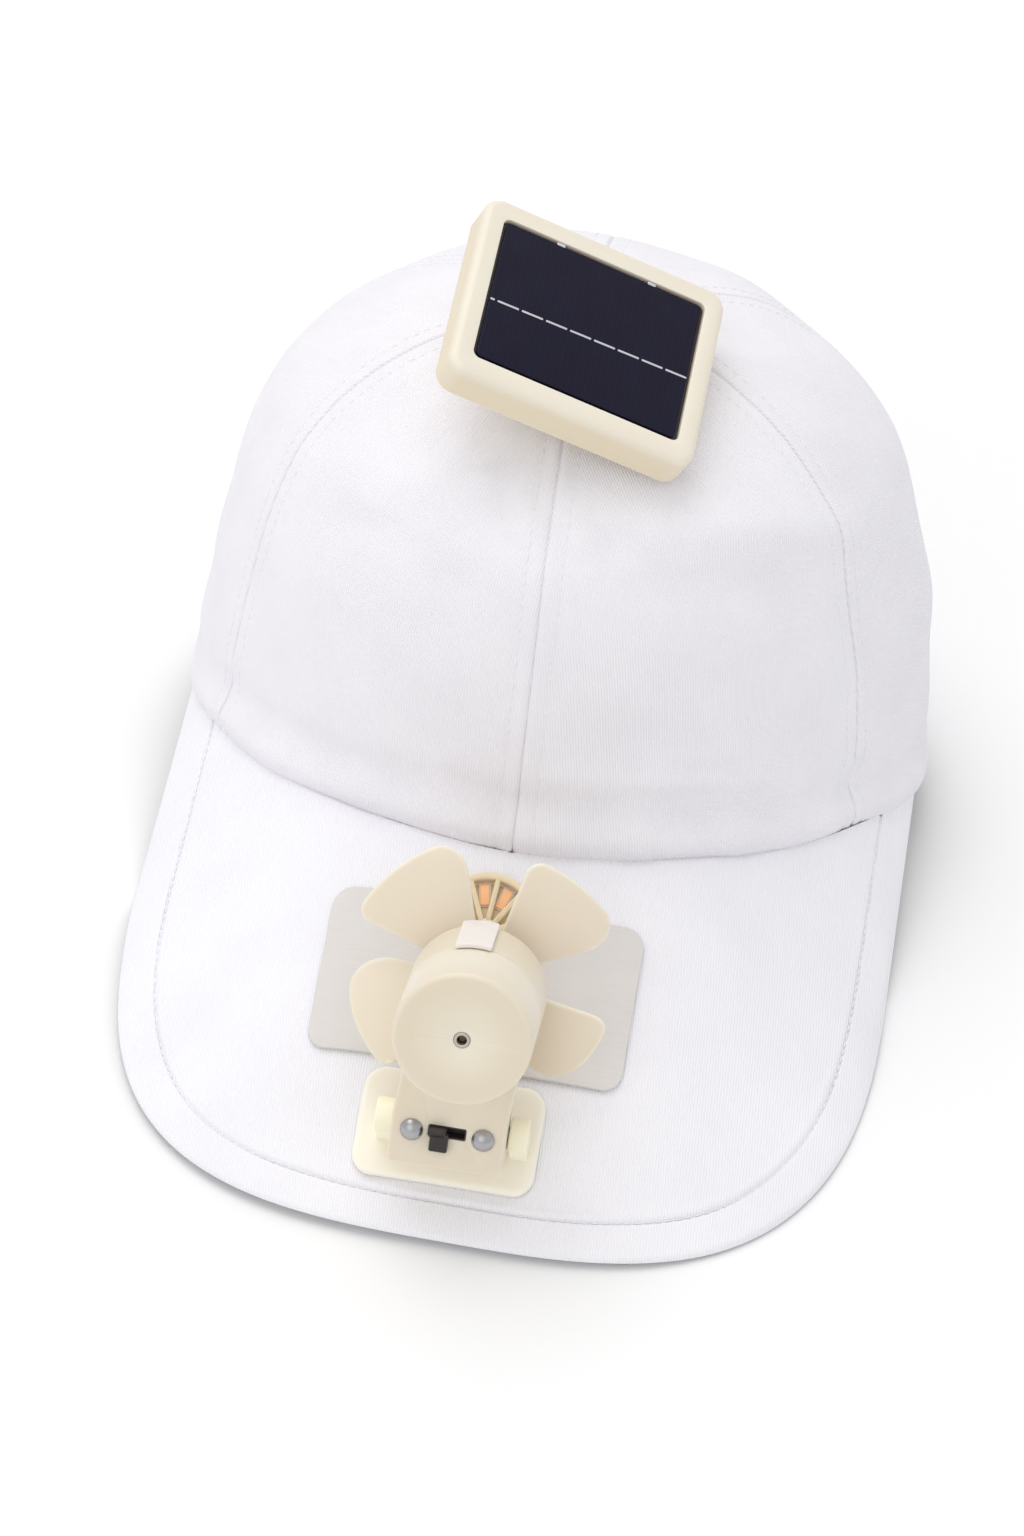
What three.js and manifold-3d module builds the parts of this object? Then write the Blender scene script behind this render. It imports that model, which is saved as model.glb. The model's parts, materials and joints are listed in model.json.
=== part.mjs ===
// Cap with a small fan hinged on its brim and a light cell panel on its crown.
// Millimetres, +Z up. The cap lies on its brim edge and its back hem at z = 0,
// with the brim toward -Y. Left and right are the wearer's: left is +X.
import * as THREE from 'three';
import { mergeVertices } from 'three/addons/utils/BufferGeometryUtils.js';
import Module from 'manifold-3d';

const wasm = await Module();
wasm.setup();

// Crown: half sizes at the hem, height, and the exponents of its round shape
const CROWN_HALF_WIDTH = 88.4;
const CROWN_FRONT = 92.9;
const CROWN_BACK = 80.9;
const CROWN_HEIGHT = 136.5;
const PLAN_EXPONENT = 1.8;
const PROFILE_FRONT = 2.9;
const PROFILE_BACK = 2.4;
const APEX_X = -2.3;
const APEX_Y = -11.6;
const WALL_DIP = 0.028;
const DIP_REACH = 2.2;
const CROWN_CLOTH = 1.8;
const FRONT_SEAM = 57.8;
const REAR_SEAM = 120;
const SEAM_GAP = 0.3;
const HEM_GAP = 0.75;
const TOP_CLIMB = 0.997;
const CLIMB_BIAS = 1.15;

// Hem height of the crown every 15 degrees from the front centre to the side
const HEM_HEIGHTS = [45.7, 44.8, 40.6, 33.9, 27.1, 17.1, 9.6];
const HEM_STEP = 15;
const LOWEST_HEM = 0.12;
const SIDE_HEM = HEM_HEIGHTS[HEM_HEIGHTS.length - 1];

// Brim: half width, reach past the crown, where its round tip starts
const BRIM_HALF_WIDTH = 86.7;
const BRIM_REACH = 82;
const BRIM_TIP_START = 74.3;
const BRIM_EXPONENT = 2.9;
const BRIM_CLOTH = 2.4;
const BRIM_EDGE = 2;
const BRIM_SWING = 0.985;
const BRIM_TIP = CROWN_FRONT + BRIM_REACH;

// Shoulders of the brim, which carry the middle flat between them
const SHOULDER_RISE = 9;
const SHOULDER_X = 41;
const SHOULDER_SPREAD = 20;
const SHOULDER_START = 0.12;

// What lies on the brim, set back from its tip: the fan base, the thin plate, the vent
const SEAT = 0.4;
const BASE_SETBACK = 12.5;
const BASE_LONG = 21.6;
const PLATE_GAP = 2.2;
const PLATE_LONG = 33.6;
const VENT_SETBACK = 26.8;
const PIVOT_SETBACK = 9;
const BASE_FRONT = BRIM_TIP - BASE_SETBACK;
const BASE_BACK = BASE_FRONT - BASE_LONG;
const PLATE_FRONT = BASE_BACK - PLATE_GAP;
const PLATE_BACK = PLATE_FRONT - PLATE_LONG;
const PLATE = {
  width: 68.8, back: PLATE_BACK, front: PLATE_FRONT, thick: 0.8, corner: 4, x: -2.3,
};
const VENT = {
  x: -2.6, y: VENT_SETBACK - PLATE_FRONT, radius: 12.6, rim: 1.5, hub: 3, ribs: 12,
  rib: 1.1, high: 2.2, turn: -5,
};
const VENT_TRAY = { radius: 10.8, thick: 0.5 };

// Strips in two windows of the vent, which count from its first rib
const STRIP = { long: 4.4, wide: 2.1, thick: 0.4, radius: 8.4 };
const STRIP_WINDOWS = [['vent_strip_left', 2], ['vent_strip_right', 3]];

// Fan base on the brim and the hinge that it carries
const BASE = {
  width: 39.6, back: BASE_BACK, front: BASE_FRONT, thick: 1.8, corner: 4.5, x: -2.6,
};
const PIVOT_Y = PIVOT_SETBACK - BASE_FRONT;
const PIVOT_HEIGHT = 12.5;
const PIVOT_X = -1.3;
const PIN_RADIUS = 1.5;
const RUN_GAP = 0.3;
const LUG = { thick: 4, radius: 3.7, foot: 2.4 };

// Fan arm and motor, in a frame with the pivot at its origin and z along the shaft
const AXIS_ELEVATION = 21.1;
const ARM = {
  width: 24.2, below: 5.6, back: -2.2, front: 11.2, rise: 30.6, lean: 1.6, upright: 5, wall: 1.5,
};
const KNUCKLE_RADIUS = 3.8;
const BARREL_RADIUS = 14.6;
const FACE = 27;
const FACE_ROUND = 1.4;
const FACE_HOLE = 1.5;
const FACE_RIM = 2.6;
const MOTOR = { radius: 12.4, back: -0.3, front: 23 };
const SHAFT = { radius: 0.9, back: -15, front: 26.2 };
const LATCH = { width: 7.4, thick: 0.9, back: -1.6, front: 12.8, turn: 4.3 };
const SCREW = { x: 7.6, y: 2.4, head: 2.45, dome: 1.1, shank: 1.1, deep: 5 };
const SLOT = { x: -0.1, y: 2.8, width: 8, high: 2.6 };
const SWITCH = { width: 9.4, high: 4.4, deep: 5, recess: 1.6 };
const SLIDER = { stem: 3.6, tab: 4.2, drop: 3, thick: 1.4 };

// Propeller behind the arm
const PROPELLER = { plane: -9.2, radius: 30.2, hub: 6, hubLong: 8.4, span: 27, pitch: 14 };
const BLADE = { thick: 1.1, ahead: 3.5, behind: 7, cup: 0.8, root: 0.55, bias: 0.8 };
const BLADE_ANGLES = [49, 132, 218, 318];

// Light cell panel over the crown top
const PANEL = { x: 1.7, y: -45, z: 152.9, turnX: 0.34, turnY: 0.38, turnZ: 0.11 };
const FRAME = { width: 57.8, high: 47.2, thick: 9.6, corner: 3.4, bevel: 1.2 };
const CELL = { width: 48.4, high: 37.5, pocket: 1.4, thick: 1 };
const POST = { radius: 7, long: 26 };

const DEG = Math.PI / 180;

// Power that keeps the sign of its base
function signedPower(value, power) {
  return Math.sign(value) * Math.abs(value) ** power;
}

// Height of the hem at an angle from the front centre
function hemHeight(angle) {
  const turn = Math.abs(Math.atan2(Math.sin(angle), Math.cos(angle))) / DEG;
  if (turn >= 90) {
    const fall = SIDE_HEM * (1 + Math.cos(turn * DEG));
    return fall < LOWEST_HEM ? 0 : fall;
  }
  const place = turn / HEM_STEP;
  const row = Math.min(Math.floor(place), HEM_HEIGHTS.length - 2);
  return THREE.MathUtils.lerp(HEM_HEIGHTS[row], HEM_HEIGHTS[row + 1], place - row);
}

// Crown surface: angle from the front centre, and 0 at the hem to 1 at the apex
function crownPoint(angle, climb) {
  const phase = climb * Math.PI / 2;
  const c = Math.cos(angle);
  const s = Math.sin(angle);
  const exponent = PROFILE_BACK + (PROFILE_FRONT - PROFILE_BACK) * (0.5 + 0.5 * c);
  const shrink = Math.max(Math.cos(phase), 0) ** (2 / exponent);
  const lift = Math.sin(phase) ** (2 / exponent);
  const ex = signedPower(s, 2 / PLAN_EXPONENT);
  const ey = signedPower(c, 2 / PLAN_EXPONENT);
  const depth = c > 0 ? CROWN_FRONT : CROWN_BACK;
  const dip = 1 - WALL_DIP * Math.sin(Math.min(climb * DIP_REACH, 1) * Math.PI);
  const hem = hemHeight(angle);
  return new THREE.Vector3(
    CROWN_HALF_WIDTH * ex * shrink * dip + APEX_X * (1 - shrink),
    -depth * ey * shrink * dip + APEX_Y * (1 - shrink),
    hem + (CROWN_HEIGHT - hem) * lift,
  );
}

// Outward normal of the crown surface
function crownNormal(angle, climb) {
  const step = 0.004;
  const a = THREE.MathUtils.clamp(climb, 0.012, 0.99);
  const along = crownPoint(angle + step, a).sub(crownPoint(angle - step, a));
  const up = crownPoint(angle, a + step).sub(crownPoint(angle, a - step));
  return along.cross(up).normalize();
}

// Crown surface moved out, or in when the distance is negative
function crownOffset(angle, climb, distance) {
  const normal = crownNormal(angle, climb);
  if (climb < 0.02) {
    normal.z = 0;
    normal.normalize();
  }
  return crownPoint(angle, climb).addScaledVector(normal, distance);
}

// Hem of the crown in plan, as a function of x
function hemAt(x) {
  const across = Math.min(Math.abs(x) / CROWN_HALF_WIDTH, 1);
  const s = across ** (PLAN_EXPONENT / 2);
  const c = Math.sqrt(Math.max(1 - s * s, 0));
  return {
    y: -CROWN_FRONT * c ** (2 / PLAN_EXPONENT),
    z: hemHeight(Math.atan2(s, c)),
  };
}

// Outer edge of the brim in plan, as a function of x
function brimEdgeY(x) {
  const across = Math.min(Math.abs(x) / BRIM_HALF_WIDTH, 1);
  const round = Math.max(1 - across ** BRIM_EXPONENT, 0) ** (1 / BRIM_EXPONENT);
  return -BRIM_TIP_START - (BRIM_TIP - BRIM_TIP_START) * round;
}

// Top of the brim at a place in plan
function brimHeight(x, y) {
  const hem = hemAt(x);
  const edge = brimEdgeY(x);
  const part = THREE.MathUtils.clamp((y - hem.y) / (edge - hem.y), 0, 1);
  const side = Math.exp(-(((Math.abs(x) - SHOULDER_X) / SHOULDER_SPREAD) ** 2));
  const rise = SHOULDER_RISE * side * (1 - part) * (1 - Math.exp(-part / SHOULDER_START));
  return THREE.MathUtils.lerp(hem.z, BRIM_EDGE, part) + rise;
}

// Upward normal of the brim top
function brimNormal(x, y) {
  const step = 1.5;
  const dx = (brimHeight(x + step, y) - brimHeight(x - step, y)) / (2 * step);
  const dy = (brimHeight(x, y + step) - brimHeight(x, y - step)) / (2 * step);
  return new THREE.Vector3(-dx, -dy, 1).normalize();
}

// A point at some height over the brim top
function overBrim(x, y, height) {
  const point = new THREE.Vector3(x, y, brimHeight(x, y));
  return point.addScaledVector(brimNormal(x, y), height);
}

// A box whose corners and grid are carried to a place by a map of (0..1, 0..1, 0..1)
function mappedBox(columns, rows, map) {
  const geometry = new THREE.BoxGeometry(1, 1, 1, columns, rows, 1);
  const position = geometry.attributes.position;
  for (let i = 0; i < position.count; i += 1) {
    const point = map(position.getX(i) + 0.5, position.getY(i) + 0.5, position.getZ(i) + 0.5);
    position.setXYZ(i, point.x, point.y, point.z);
  }
  return geometry;
}

// Carries a flat-built body, x and y in plan and z its height, onto the brim
function drape(geometry) {
  const position = geometry.attributes.position;
  for (let i = 0; i < position.count; i += 1) {
    const point = overBrim(position.getX(i), position.getY(i), position.getZ(i));
    position.setXYZ(i, point.x, point.y, point.z);
  }
  return geometry;
}

// Keeps only positions and merges the shared corners
function weld(geometry) {
  const bare = geometry.clone();
  bare.deleteAttribute('normal');
  bare.deleteAttribute('uv');
  return mergeVertices(bare, 1e-5);
}

function toSolid(geometry) {
  const bare = weld(geometry);
  return new wasm.Manifold(new wasm.Mesh({
    numProp: 3,
    vertProperties: Float32Array.from(bare.attributes.position.array),
    triVerts: Uint32Array.from(bare.index.array),
  }));
}

function fromSolid(solid) {
  const mesh = solid.getMesh();
  const geometry = new THREE.BufferGeometry();
  geometry.setAttribute('position', new THREE.BufferAttribute(mesh.vertProperties, 3));
  geometry.setIndex(new THREE.BufferAttribute(mesh.triVerts, 1));
  return geometry;
}

// Joins the first list of bodies and cuts the second list out of them
function carve(joined, cuts = []) {
  let solid = toSolid(joined[0]);
  for (const body of joined.slice(1)) {
    solid = solid.add(toSolid(body));
  }
  for (const body of cuts) {
    solid = solid.subtract(toSolid(body));
  }
  return fromSolid(solid);
}

// A cylinder along z between two heights
function rod(radius, low, high, sides = 32, x = 0, y = 0) {
  const geometry = new THREE.CylinderGeometry(radius, radius, high - low, sides);
  geometry.rotateX(Math.PI / 2);
  return geometry.translate(x, y, (low + high) / 2);
}

// A block between two corners
function block(x0, x1, y0, y1, z0, z1) {
  const geometry = new THREE.BoxGeometry(x1 - x0, y1 - y0, z1 - z0);
  return geometry.translate((x0 + x1) / 2, (y0 + y1) / 2, (z0 + z1) / 2);
}

// A turned body about z from a closed profile of [radius, height] pairs
function turned(profile, sides = 40) {
  const points = [...profile, profile[0]].map(([r, z]) => new THREE.Vector2(r, z));
  const geometry = new THREE.LatheGeometry(points, sides);
  return geometry.rotateX(Math.PI / 2);
}

// A rectangle with round corners
function roundedRectangle(width, high, corner) {
  const shape = new THREE.Shape();
  const x = width / 2 - corner;
  const y = high / 2 - corner;
  shape.moveTo(-x, -y - corner);
  shape.lineTo(x, -y - corner);
  shape.absarc(x, -y, corner, -Math.PI / 2, 0, false);
  shape.absarc(x, y, corner, 0, Math.PI / 2, false);
  shape.absarc(-x, y, corner, Math.PI / 2, Math.PI, false);
  shape.absarc(-x, -y, corner, Math.PI, 1.5 * Math.PI, false);
  return shape;
}

function cloth(color) {
  return new THREE.MeshStandardMaterial({ color, roughness: 0.95, metalness: 0 });
}

function plastic(color, roughness = 0.45) {
  return new THREE.MeshStandardMaterial({ color, roughness, metalness: 0 });
}

function metal(color, roughness = 0.3) {
  return new THREE.MeshStandardMaterial({ color, roughness, metalness: 1 });
}

function addMesh(group, name, geometry, material) {
  const mesh = new THREE.Mesh(weld(geometry), material);
  mesh.geometry.computeVertexNormals();
  mesh.name = name;
  group.add(mesh);
  return mesh;
}

// One gore of the crown between two angles, a curved wall of cloth
function crownPanel(from, to) {
  const middle = CROWN_HALF_WIDTH;
  const trim = SEAM_GAP / 2 / middle;
  const drop = (angle) => BRIM_CLOTH * Math.max(Math.cos(angle), 0) ** 0.5;
  return mappedBox(8, 13, (a, b, c) => {
    const climb = TOP_CLIMB * b ** CLIMB_BIAS;
    const narrow = trim / Math.max(1 - climb, 0.04);
    const angle = THREE.MathUtils.lerp(from * DEG + narrow, to * DEG - narrow, a);
    const point = crownOffset(angle, climb, (c - 1) * CROWN_CLOTH);
    if (b === 0) {
      point.z -= drop(angle);
    }
    return point;
  });
}

// The crown as one solid block, larger by a distance, to seat a foot on it
function crownBlock(distance) {
  const top = new THREE.Vector3(APEX_X, APEX_Y, CROWN_HEIGHT + distance);
  const rings = 24;
  const sides = 72;
  const points = [top];
  for (let ring = 1; ring <= rings; ring += 1) {
    const climb = 1 - ring / rings;
    for (let side = 0; side < sides; side += 1) {
      points.push(crownOffset(side / sides * 2 * Math.PI, Math.max(climb, 0.02), distance));
    }
  }
  points.push(new THREE.Vector3(0, 0, 0));
  const index = [];
  const at = (ring, side) => 1 + (ring - 1) * sides + side % sides;
  for (let side = 0; side < sides; side += 1) {
    index.push(0, at(1, side), at(1, side + 1));
    for (let ring = 1; ring < rings; ring += 1) {
      index.push(at(ring, side), at(ring + 1, side), at(ring + 1, side + 1));
      index.push(at(ring, side), at(ring + 1, side + 1), at(ring, side + 1));
    }
    index.push(at(rings, side), points.length - 1, at(rings, side + 1));
  }
  const geometry = new THREE.BufferGeometry().setFromPoints(points);
  geometry.setIndex(index);
  return geometry;
}

// The brim, a bent board of cloth from the hem to its outer edge
function brimBody() {
  const columns = 32;
  const rows = 8;
  const down = BRIM_CLOTH / Math.cos(Math.atan2(HEM_HEIGHTS[0], BRIM_REACH));
  return mappedBox(columns, rows, (a, b, c) => {
    const swing = (0.5 - a) * Math.PI * BRIM_SWING;
    const x = BRIM_HALF_WIDTH * signedPower(Math.sin(swing), 2 / BRIM_EXPONENT);
    const start = hemAt(x).y - HEM_GAP;
    const edge = brimEdgeY(x);
    const part = b < 1 ? b * BRIM_SWING * rows / (rows - 1) : 1;
    const y = THREE.MathUtils.lerp(start, edge, Math.min(part, 1));
    const top = brimHeight(x, y);
    return new THREE.Vector3(x, y, c > 0.5 ? top : Math.max(top - down, 0));
  });
}

// A thin flat board with round corners, laid on the brim
function brimBoard(size, low) {
  const body = mappedBox(10, 8, (a, b, c) => {
    const long = size.front - size.back;
    const share = 0.5 - 0.5 * Math.cos(b * Math.PI);
    const inset = Math.max(size.corner - share * long, size.corner - (1 - share) * long, 0);
    const narrow = size.corner - Math.sqrt(Math.max(size.corner ** 2 - inset ** 2, 0));
    const x = size.x + (a - 0.5) * (size.width - 2 * narrow);
    return new THREE.Vector3(x, -size.front + share * long, low + c * size.thick);
  });
  return drape(body);
}

// Carries a body built about its own centre to the vent's place on the brim
function ventPlace(geometry) {
  return drape(geometry.translate(VENT.x, VENT.y, 0));
}

// Angle of the middle of a window of the vent
function windowAngle(number) {
  return (number + 0.5) * 2 * Math.PI / VENT.ribs + VENT.turn * DEG;
}

// One window between two ribs of the vent
function ventWindow(middle, low) {
  const inner = VENT.radius - VENT.rim;
  const step = 2 * Math.PI / VENT.ribs;
  const outerHalf = step / 2 - VENT.rib / 2 / inner;
  const innerHalf = step / 2 - VENT.rib / 2 / VENT.hub;
  const shape = new THREE.Shape();
  shape.absarc(0, 0, inner, middle - outerHalf, middle + outerHalf, false);
  shape.absarc(0, 0, VENT.hub, middle + innerHalf, middle - innerHalf, true);
  shape.closePath();
  const body = new THREE.ExtrudeGeometry(shape, {
    depth: VENT.high + 2, bevelEnabled: false, curveSegments: 3,
  });
  return body.translate(0, 0, low - 1);
}

// The vent: a rim, a hub and the ribs between them
function ventBody() {
  const low = SEAT + VENT_TRAY.thick + RUN_GAP;
  const windows = [];
  for (let i = 0; i < VENT.ribs; i += 1) {
    windows.push(ventWindow(windowAngle(i), low));
  }
  return carve([rod(VENT.radius, low, low + VENT.high, 36)], windows);
}

const cap = new THREE.Group();

const CLOTH = cloth(0xeeeef4);
const CREAM = plastic(0xe8dec6);
const PALE = plastic(0xf0e8e2, 0.5);
const AMBER = plastic(0xc9a878, 0.6);
const STEEL = metal(0xc8c8cc, 0.3);
const COPPER = metal(0xe08850, 0.35);
const BLACK = plastic(0x1c1613, 0.5);

// Crown gores
const gores = [
  ['crown_panel_front_left', 0, FRONT_SEAM],
  ['crown_panel_side_left', FRONT_SEAM, REAR_SEAM],
  ['crown_panel_back_left', REAR_SEAM, 180],
  ['crown_panel_back_right', 180, 360 - REAR_SEAM],
  ['crown_panel_side_right', 360 - REAR_SEAM, 360 - FRONT_SEAM],
  ['crown_panel_front_right', 360 - FRONT_SEAM, 360],
];
for (const [name, from, to] of gores) {
  addMesh(cap, name, crownPanel(from, to), CLOTH);
}

// Brim and the thin parts laid on it
addMesh(cap, 'brim', brimBody(), CLOTH);
const ventCut = ventPlace(rod(VENT.radius + RUN_GAP, -4, 8, 36));
addMesh(cap, 'brim_plate', carve([brimBoard(PLATE, SEAT)], [ventCut]), metal(0xd8d5d2, 0.5));
addMesh(cap, 'brim_vent', ventPlace(ventBody()), CREAM);
const trayTop = SEAT + VENT_TRAY.thick;
addMesh(cap, 'vent_tray', ventPlace(rod(VENT_TRAY.radius, SEAT, trayTop, 32)), AMBER);

// Metal strips between the ribs, on the tray
for (const [name, number] of STRIP_WINDOWS) {
  const low = trayTop + RUN_GAP;
  const strip = block(
    STRIP.radius - STRIP.long / 2, STRIP.radius + STRIP.long / 2,
    -STRIP.wide / 2, STRIP.wide / 2, low, low + STRIP.thick,
  );
  strip.rotateZ(windowAngle(number));
  addMesh(cap, name, ventPlace(strip), COPPER);
}

// Hinge line of the fan
const pivot = overBrim(PIVOT_X, PIVOT_Y, 0);
const upSlope = new THREE.Vector3(0, BRIM_REACH, HEM_HEIGHTS[0] - BRIM_EDGE).normalize();
const brimUp = new THREE.Vector3(1, 0, 0).cross(upSlope);
pivot.addScaledVector(brimUp, PIVOT_HEIGHT);

// One lug of the base, a cheek with a round top, on one side of the arm
function lugBody(side) {
  const inner = ARM.width / 2 + RUN_GAP;
  const sink = -PIVOT_HEIGHT + SEAT + BASE.thick / 2;
  const shape = new THREE.Shape();
  shape.moveTo(-LUG.foot, sink);
  shape.lineTo(LUG.foot, sink);
  const neck = Math.acos(LUG.foot / LUG.radius);
  shape.absarc(0, 0, LUG.radius, -neck, Math.PI + neck, false);
  shape.closePath();
  const body = new THREE.ExtrudeGeometry(shape, {
    depth: LUG.thick, bevelEnabled: false, curveSegments: 10,
  });
  const frame = new THREE.Matrix4();
  frame.makeBasis(upSlope, brimUp, new THREE.Vector3(1, 0, 0));
  body.applyMatrix4(frame);
  const shift = side > 0 ? inner : -inner - LUG.thick;
  return body.translate(pivot.x + shift, pivot.y, pivot.z);
}

// A rod along x through the hinge line, in the cap's frame
function hingeRod(radius, half) {
  const body = new THREE.CylinderGeometry(radius, radius, 2 * half, 24);
  body.rotateZ(Math.PI / 2);
  return body.translate(pivot.x, pivot.y, pivot.z);
}

const lugReach = ARM.width / 2 + RUN_GAP + LUG.thick;
const baseBody = carve(
  [brimBoard(BASE, SEAT), lugBody(1), lugBody(-1)],
  [hingeRod(PIN_RADIUS + RUN_GAP, lugReach - LUG.thick / 2)],
);
addMesh(cap, 'fan_base', baseBody, CREAM);
const pinHalf = lugReach - LUG.thick / 2 - RUN_GAP;
addMesh(cap, 'hinge_pin', hingeRod(PIN_RADIUS, pinHalf), STEEL);

// Fan head: x across, y up the arm, z forward along the shaft
const head = new THREE.Group();
head.position.copy(pivot);
head.rotation.x = (90 - AXIS_ELEVATION) * DEG;
cap.add(head);

// Outline of the arm that widens into the motor barrel
function armShape() {
  const half = ARM.width / 2;
  const open = Math.acos(half / BARREL_RADIUS);
  const shape = new THREE.Shape();
  shape.moveTo(-half, -ARM.below);
  shape.lineTo(half, -ARM.below);
  shape.lineTo(half, ARM.upright);
  shape.absarc(ARM.lean, ARM.rise, BARREL_RADIUS, -open, Math.PI + open, false);
  shape.lineTo(-half, ARM.upright);
  shape.closePath();
  return shape;
}

// A cylinder along x about the hinge, in the head's frame
function crossRod(radius, half) {
  const body = new THREE.CylinderGeometry(radius, radius, 2 * half, 28);
  return body.rotateZ(Math.PI / 2);
}

const armSolid = new THREE.ExtrudeGeometry(armShape(), {
  depth: ARM.front - ARM.back, bevelEnabled: false, curveSegments: 36,
});
armSolid.translate(0, 0, ARM.back);
const slotLow = SLOT.y - SLOT.high / 2;
const slotHigh = SLOT.y + SLOT.high / 2;
const boxFront = ARM.front - SWITCH.recess;
function screwHole(x) {
  const low = ARM.front - SCREW.deep - RUN_GAP;
  return rod(SCREW.shank + RUN_GAP, low, ARM.front + 1, 20, x, SCREW.y);
}
const armBody = carve(
  [armSolid, crossRod(KNUCKLE_RADIUS, ARM.width / 2)],
  [
    rod(MOTOR.radius + RUN_GAP, MOTOR.back - RUN_GAP, ARM.front + 1, 40, ARM.lean, ARM.rise),
    rod(SHAFT.radius + 2 * RUN_GAP, ARM.back - 1, ARM.front, 20, ARM.lean, ARM.rise),
    crossRod(PIN_RADIUS + RUN_GAP, ARM.width),
    block(
      SLOT.x - SWITCH.width / 2, SLOT.x + SWITCH.width / 2,
      SLOT.y - SWITCH.high / 2, SLOT.y + SWITCH.high / 2,
      boxFront - SWITCH.deep, boxFront,
    ),
    block(
      SLOT.x - SLOT.width / 2, SLOT.x + SLOT.width / 2,
      slotLow, slotHigh, boxFront - 1, ARM.front + 1,
    ),
    screwHole(-SCREW.x),
    screwHole(SCREW.x),
  ],
);
addMesh(head, 'fan_arm', armBody, CREAM);

// Front cup over the motor, with a small rimmed hole in its face
const coverBack = ARM.front + RUN_GAP;
const coverInner = BARREL_RADIUS - ARM.wall;
const cover = turned([
  [coverInner, coverBack],
  [BARREL_RADIUS, coverBack],
  [BARREL_RADIUS, FACE - FACE_ROUND],
  [BARREL_RADIUS - FACE_ROUND * 0.3, FACE - FACE_ROUND * 0.3],
  [BARREL_RADIUS - FACE_ROUND, FACE],
  [FACE_RIM, FACE],
  [FACE_HOLE + 0.4, FACE - 0.6],
  [FACE_HOLE, FACE - 0.6],
  [FACE_HOLE, FACE - ARM.wall],
  [coverInner, FACE - ARM.wall],
], 40);
cover.translate(ARM.lean, ARM.rise, 0);
addMesh(head, 'motor_cover', cover, CREAM);

// Motor can and the shaft that runs through it
const bore = SHAFT.radius + RUN_GAP;
const motorCan = turned([
  [bore, MOTOR.back],
  [MOTOR.radius, MOTOR.back],
  [MOTOR.radius, MOTOR.front],
  [bore, MOTOR.front],
], 36);
motorCan.translate(ARM.lean, ARM.rise, 0);
addMesh(head, 'motor', motorCan, STEEL);
const shaft = rod(SHAFT.radius, SHAFT.back, SHAFT.front, 16, ARM.lean, ARM.rise);
addMesh(head, 'motor_shaft', shaft, STEEL);

// Latch strip over the top of the barrel
const latchShape = new THREE.Shape();
const latchHalf = LATCH.width / 2 / BARREL_RADIUS;
const latchLow = BARREL_RADIUS + RUN_GAP;
const latchMiddle = (90 + LATCH.turn) * DEG;
const latchFrom = latchMiddle - latchHalf;
const latchTo = latchMiddle + latchHalf;
latchShape.absarc(0, 0, latchLow + LATCH.thick, latchFrom, latchTo, false);
latchShape.absarc(0, 0, latchLow, latchTo, latchFrom, true);
latchShape.closePath();
const latch = new THREE.ExtrudeGeometry(latchShape, {
  depth: LATCH.front - LATCH.back, bevelEnabled: false, curveSegments: 6,
});
latch.translate(ARM.lean, ARM.rise, LATCH.back);
addMesh(head, 'cover_latch', latch, PALE);

// Screws with domed heads on the arm's front
function screwBody(x) {
  const seat = ARM.front + RUN_GAP;
  const body = turned([
    [0, ARM.front - SCREW.deep],
    [SCREW.shank, ARM.front - SCREW.deep],
    [SCREW.shank, seat],
    [SCREW.head, seat],
    [SCREW.head, seat + SCREW.dome * 0.35],
    [SCREW.head * 0.72, seat + SCREW.dome * 0.85],
    [0, seat + SCREW.dome],
  ], 24);
  return body.translate(x, SCREW.y, 0);
}
addMesh(head, 'arm_screw_left', screwBody(SCREW.x), STEEL);
addMesh(head, 'arm_screw_right', screwBody(-SCREW.x), STEEL);

// Switch inside the arm and the slider that shows through its slot
const bodyFront = boxFront - RUN_GAP - 1.2;
addMesh(head, 'switch_body', block(
  SLOT.x - SWITCH.width / 2 + RUN_GAP, SLOT.x + SWITCH.width / 2 - RUN_GAP,
  SLOT.y - SWITCH.high / 2 + RUN_GAP, SLOT.y + SWITCH.high / 2 - RUN_GAP,
  boxFront - SWITCH.deep + RUN_GAP, bodyFront,
), BLACK);
const stemLeft = SLOT.x - SLOT.width / 2 + RUN_GAP;
const stemMiddle = stemLeft + SLIDER.stem / 2;
const tabBack = ARM.front + RUN_GAP;
const sliderBody = carve([
  block(
    stemLeft, stemLeft + SLIDER.stem, slotLow + RUN_GAP, slotHigh - RUN_GAP,
    bodyFront + RUN_GAP, tabBack + SLIDER.thick,
  ),
  block(
    stemMiddle - SLIDER.tab / 2, stemMiddle + SLIDER.tab / 2,
    slotLow - SLIDER.drop, slotLow + SLOT.high / 2, tabBack, tabBack + SLIDER.thick,
  ),
]);
addMesh(head, 'switch_slider', sliderBody, BLACK);

// One blade: a twisted sheet with round outer corners, in the head's frame
function bladeBody(turn) {
  const root = PROPELLER.hub * BLADE.root;
  const tilt = Math.tan(PROPELLER.pitch * DEG);
  return mappedBox(6, 7, (a, b, c) => {
    const radius = THREE.MathUtils.lerp(root, PROPELLER.radius, b ** BLADE.bias);
    const corner = a < 0.5 ? BLADE.ahead : BLADE.behind;
    const near = Math.max(radius - (PROPELLER.radius - corner), 0);
    const cut = corner - Math.sqrt(Math.max(corner ** 2 - near ** 2, 0));
    const half = PROPELLER.span * DEG - cut / radius;
    const swing = (1 - 2 * a) * half;
    const cup = BLADE.cup * (1 - (2 * a - 1) ** 2);
    const high = radius * Math.sin(swing) * tilt + cup;
    const angle = turn + swing;
    return new THREE.Vector3(
      radius * Math.cos(angle),
      radius * Math.sin(angle),
      high + (c - 0.5) * BLADE.thick,
    );
  });
}

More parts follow.
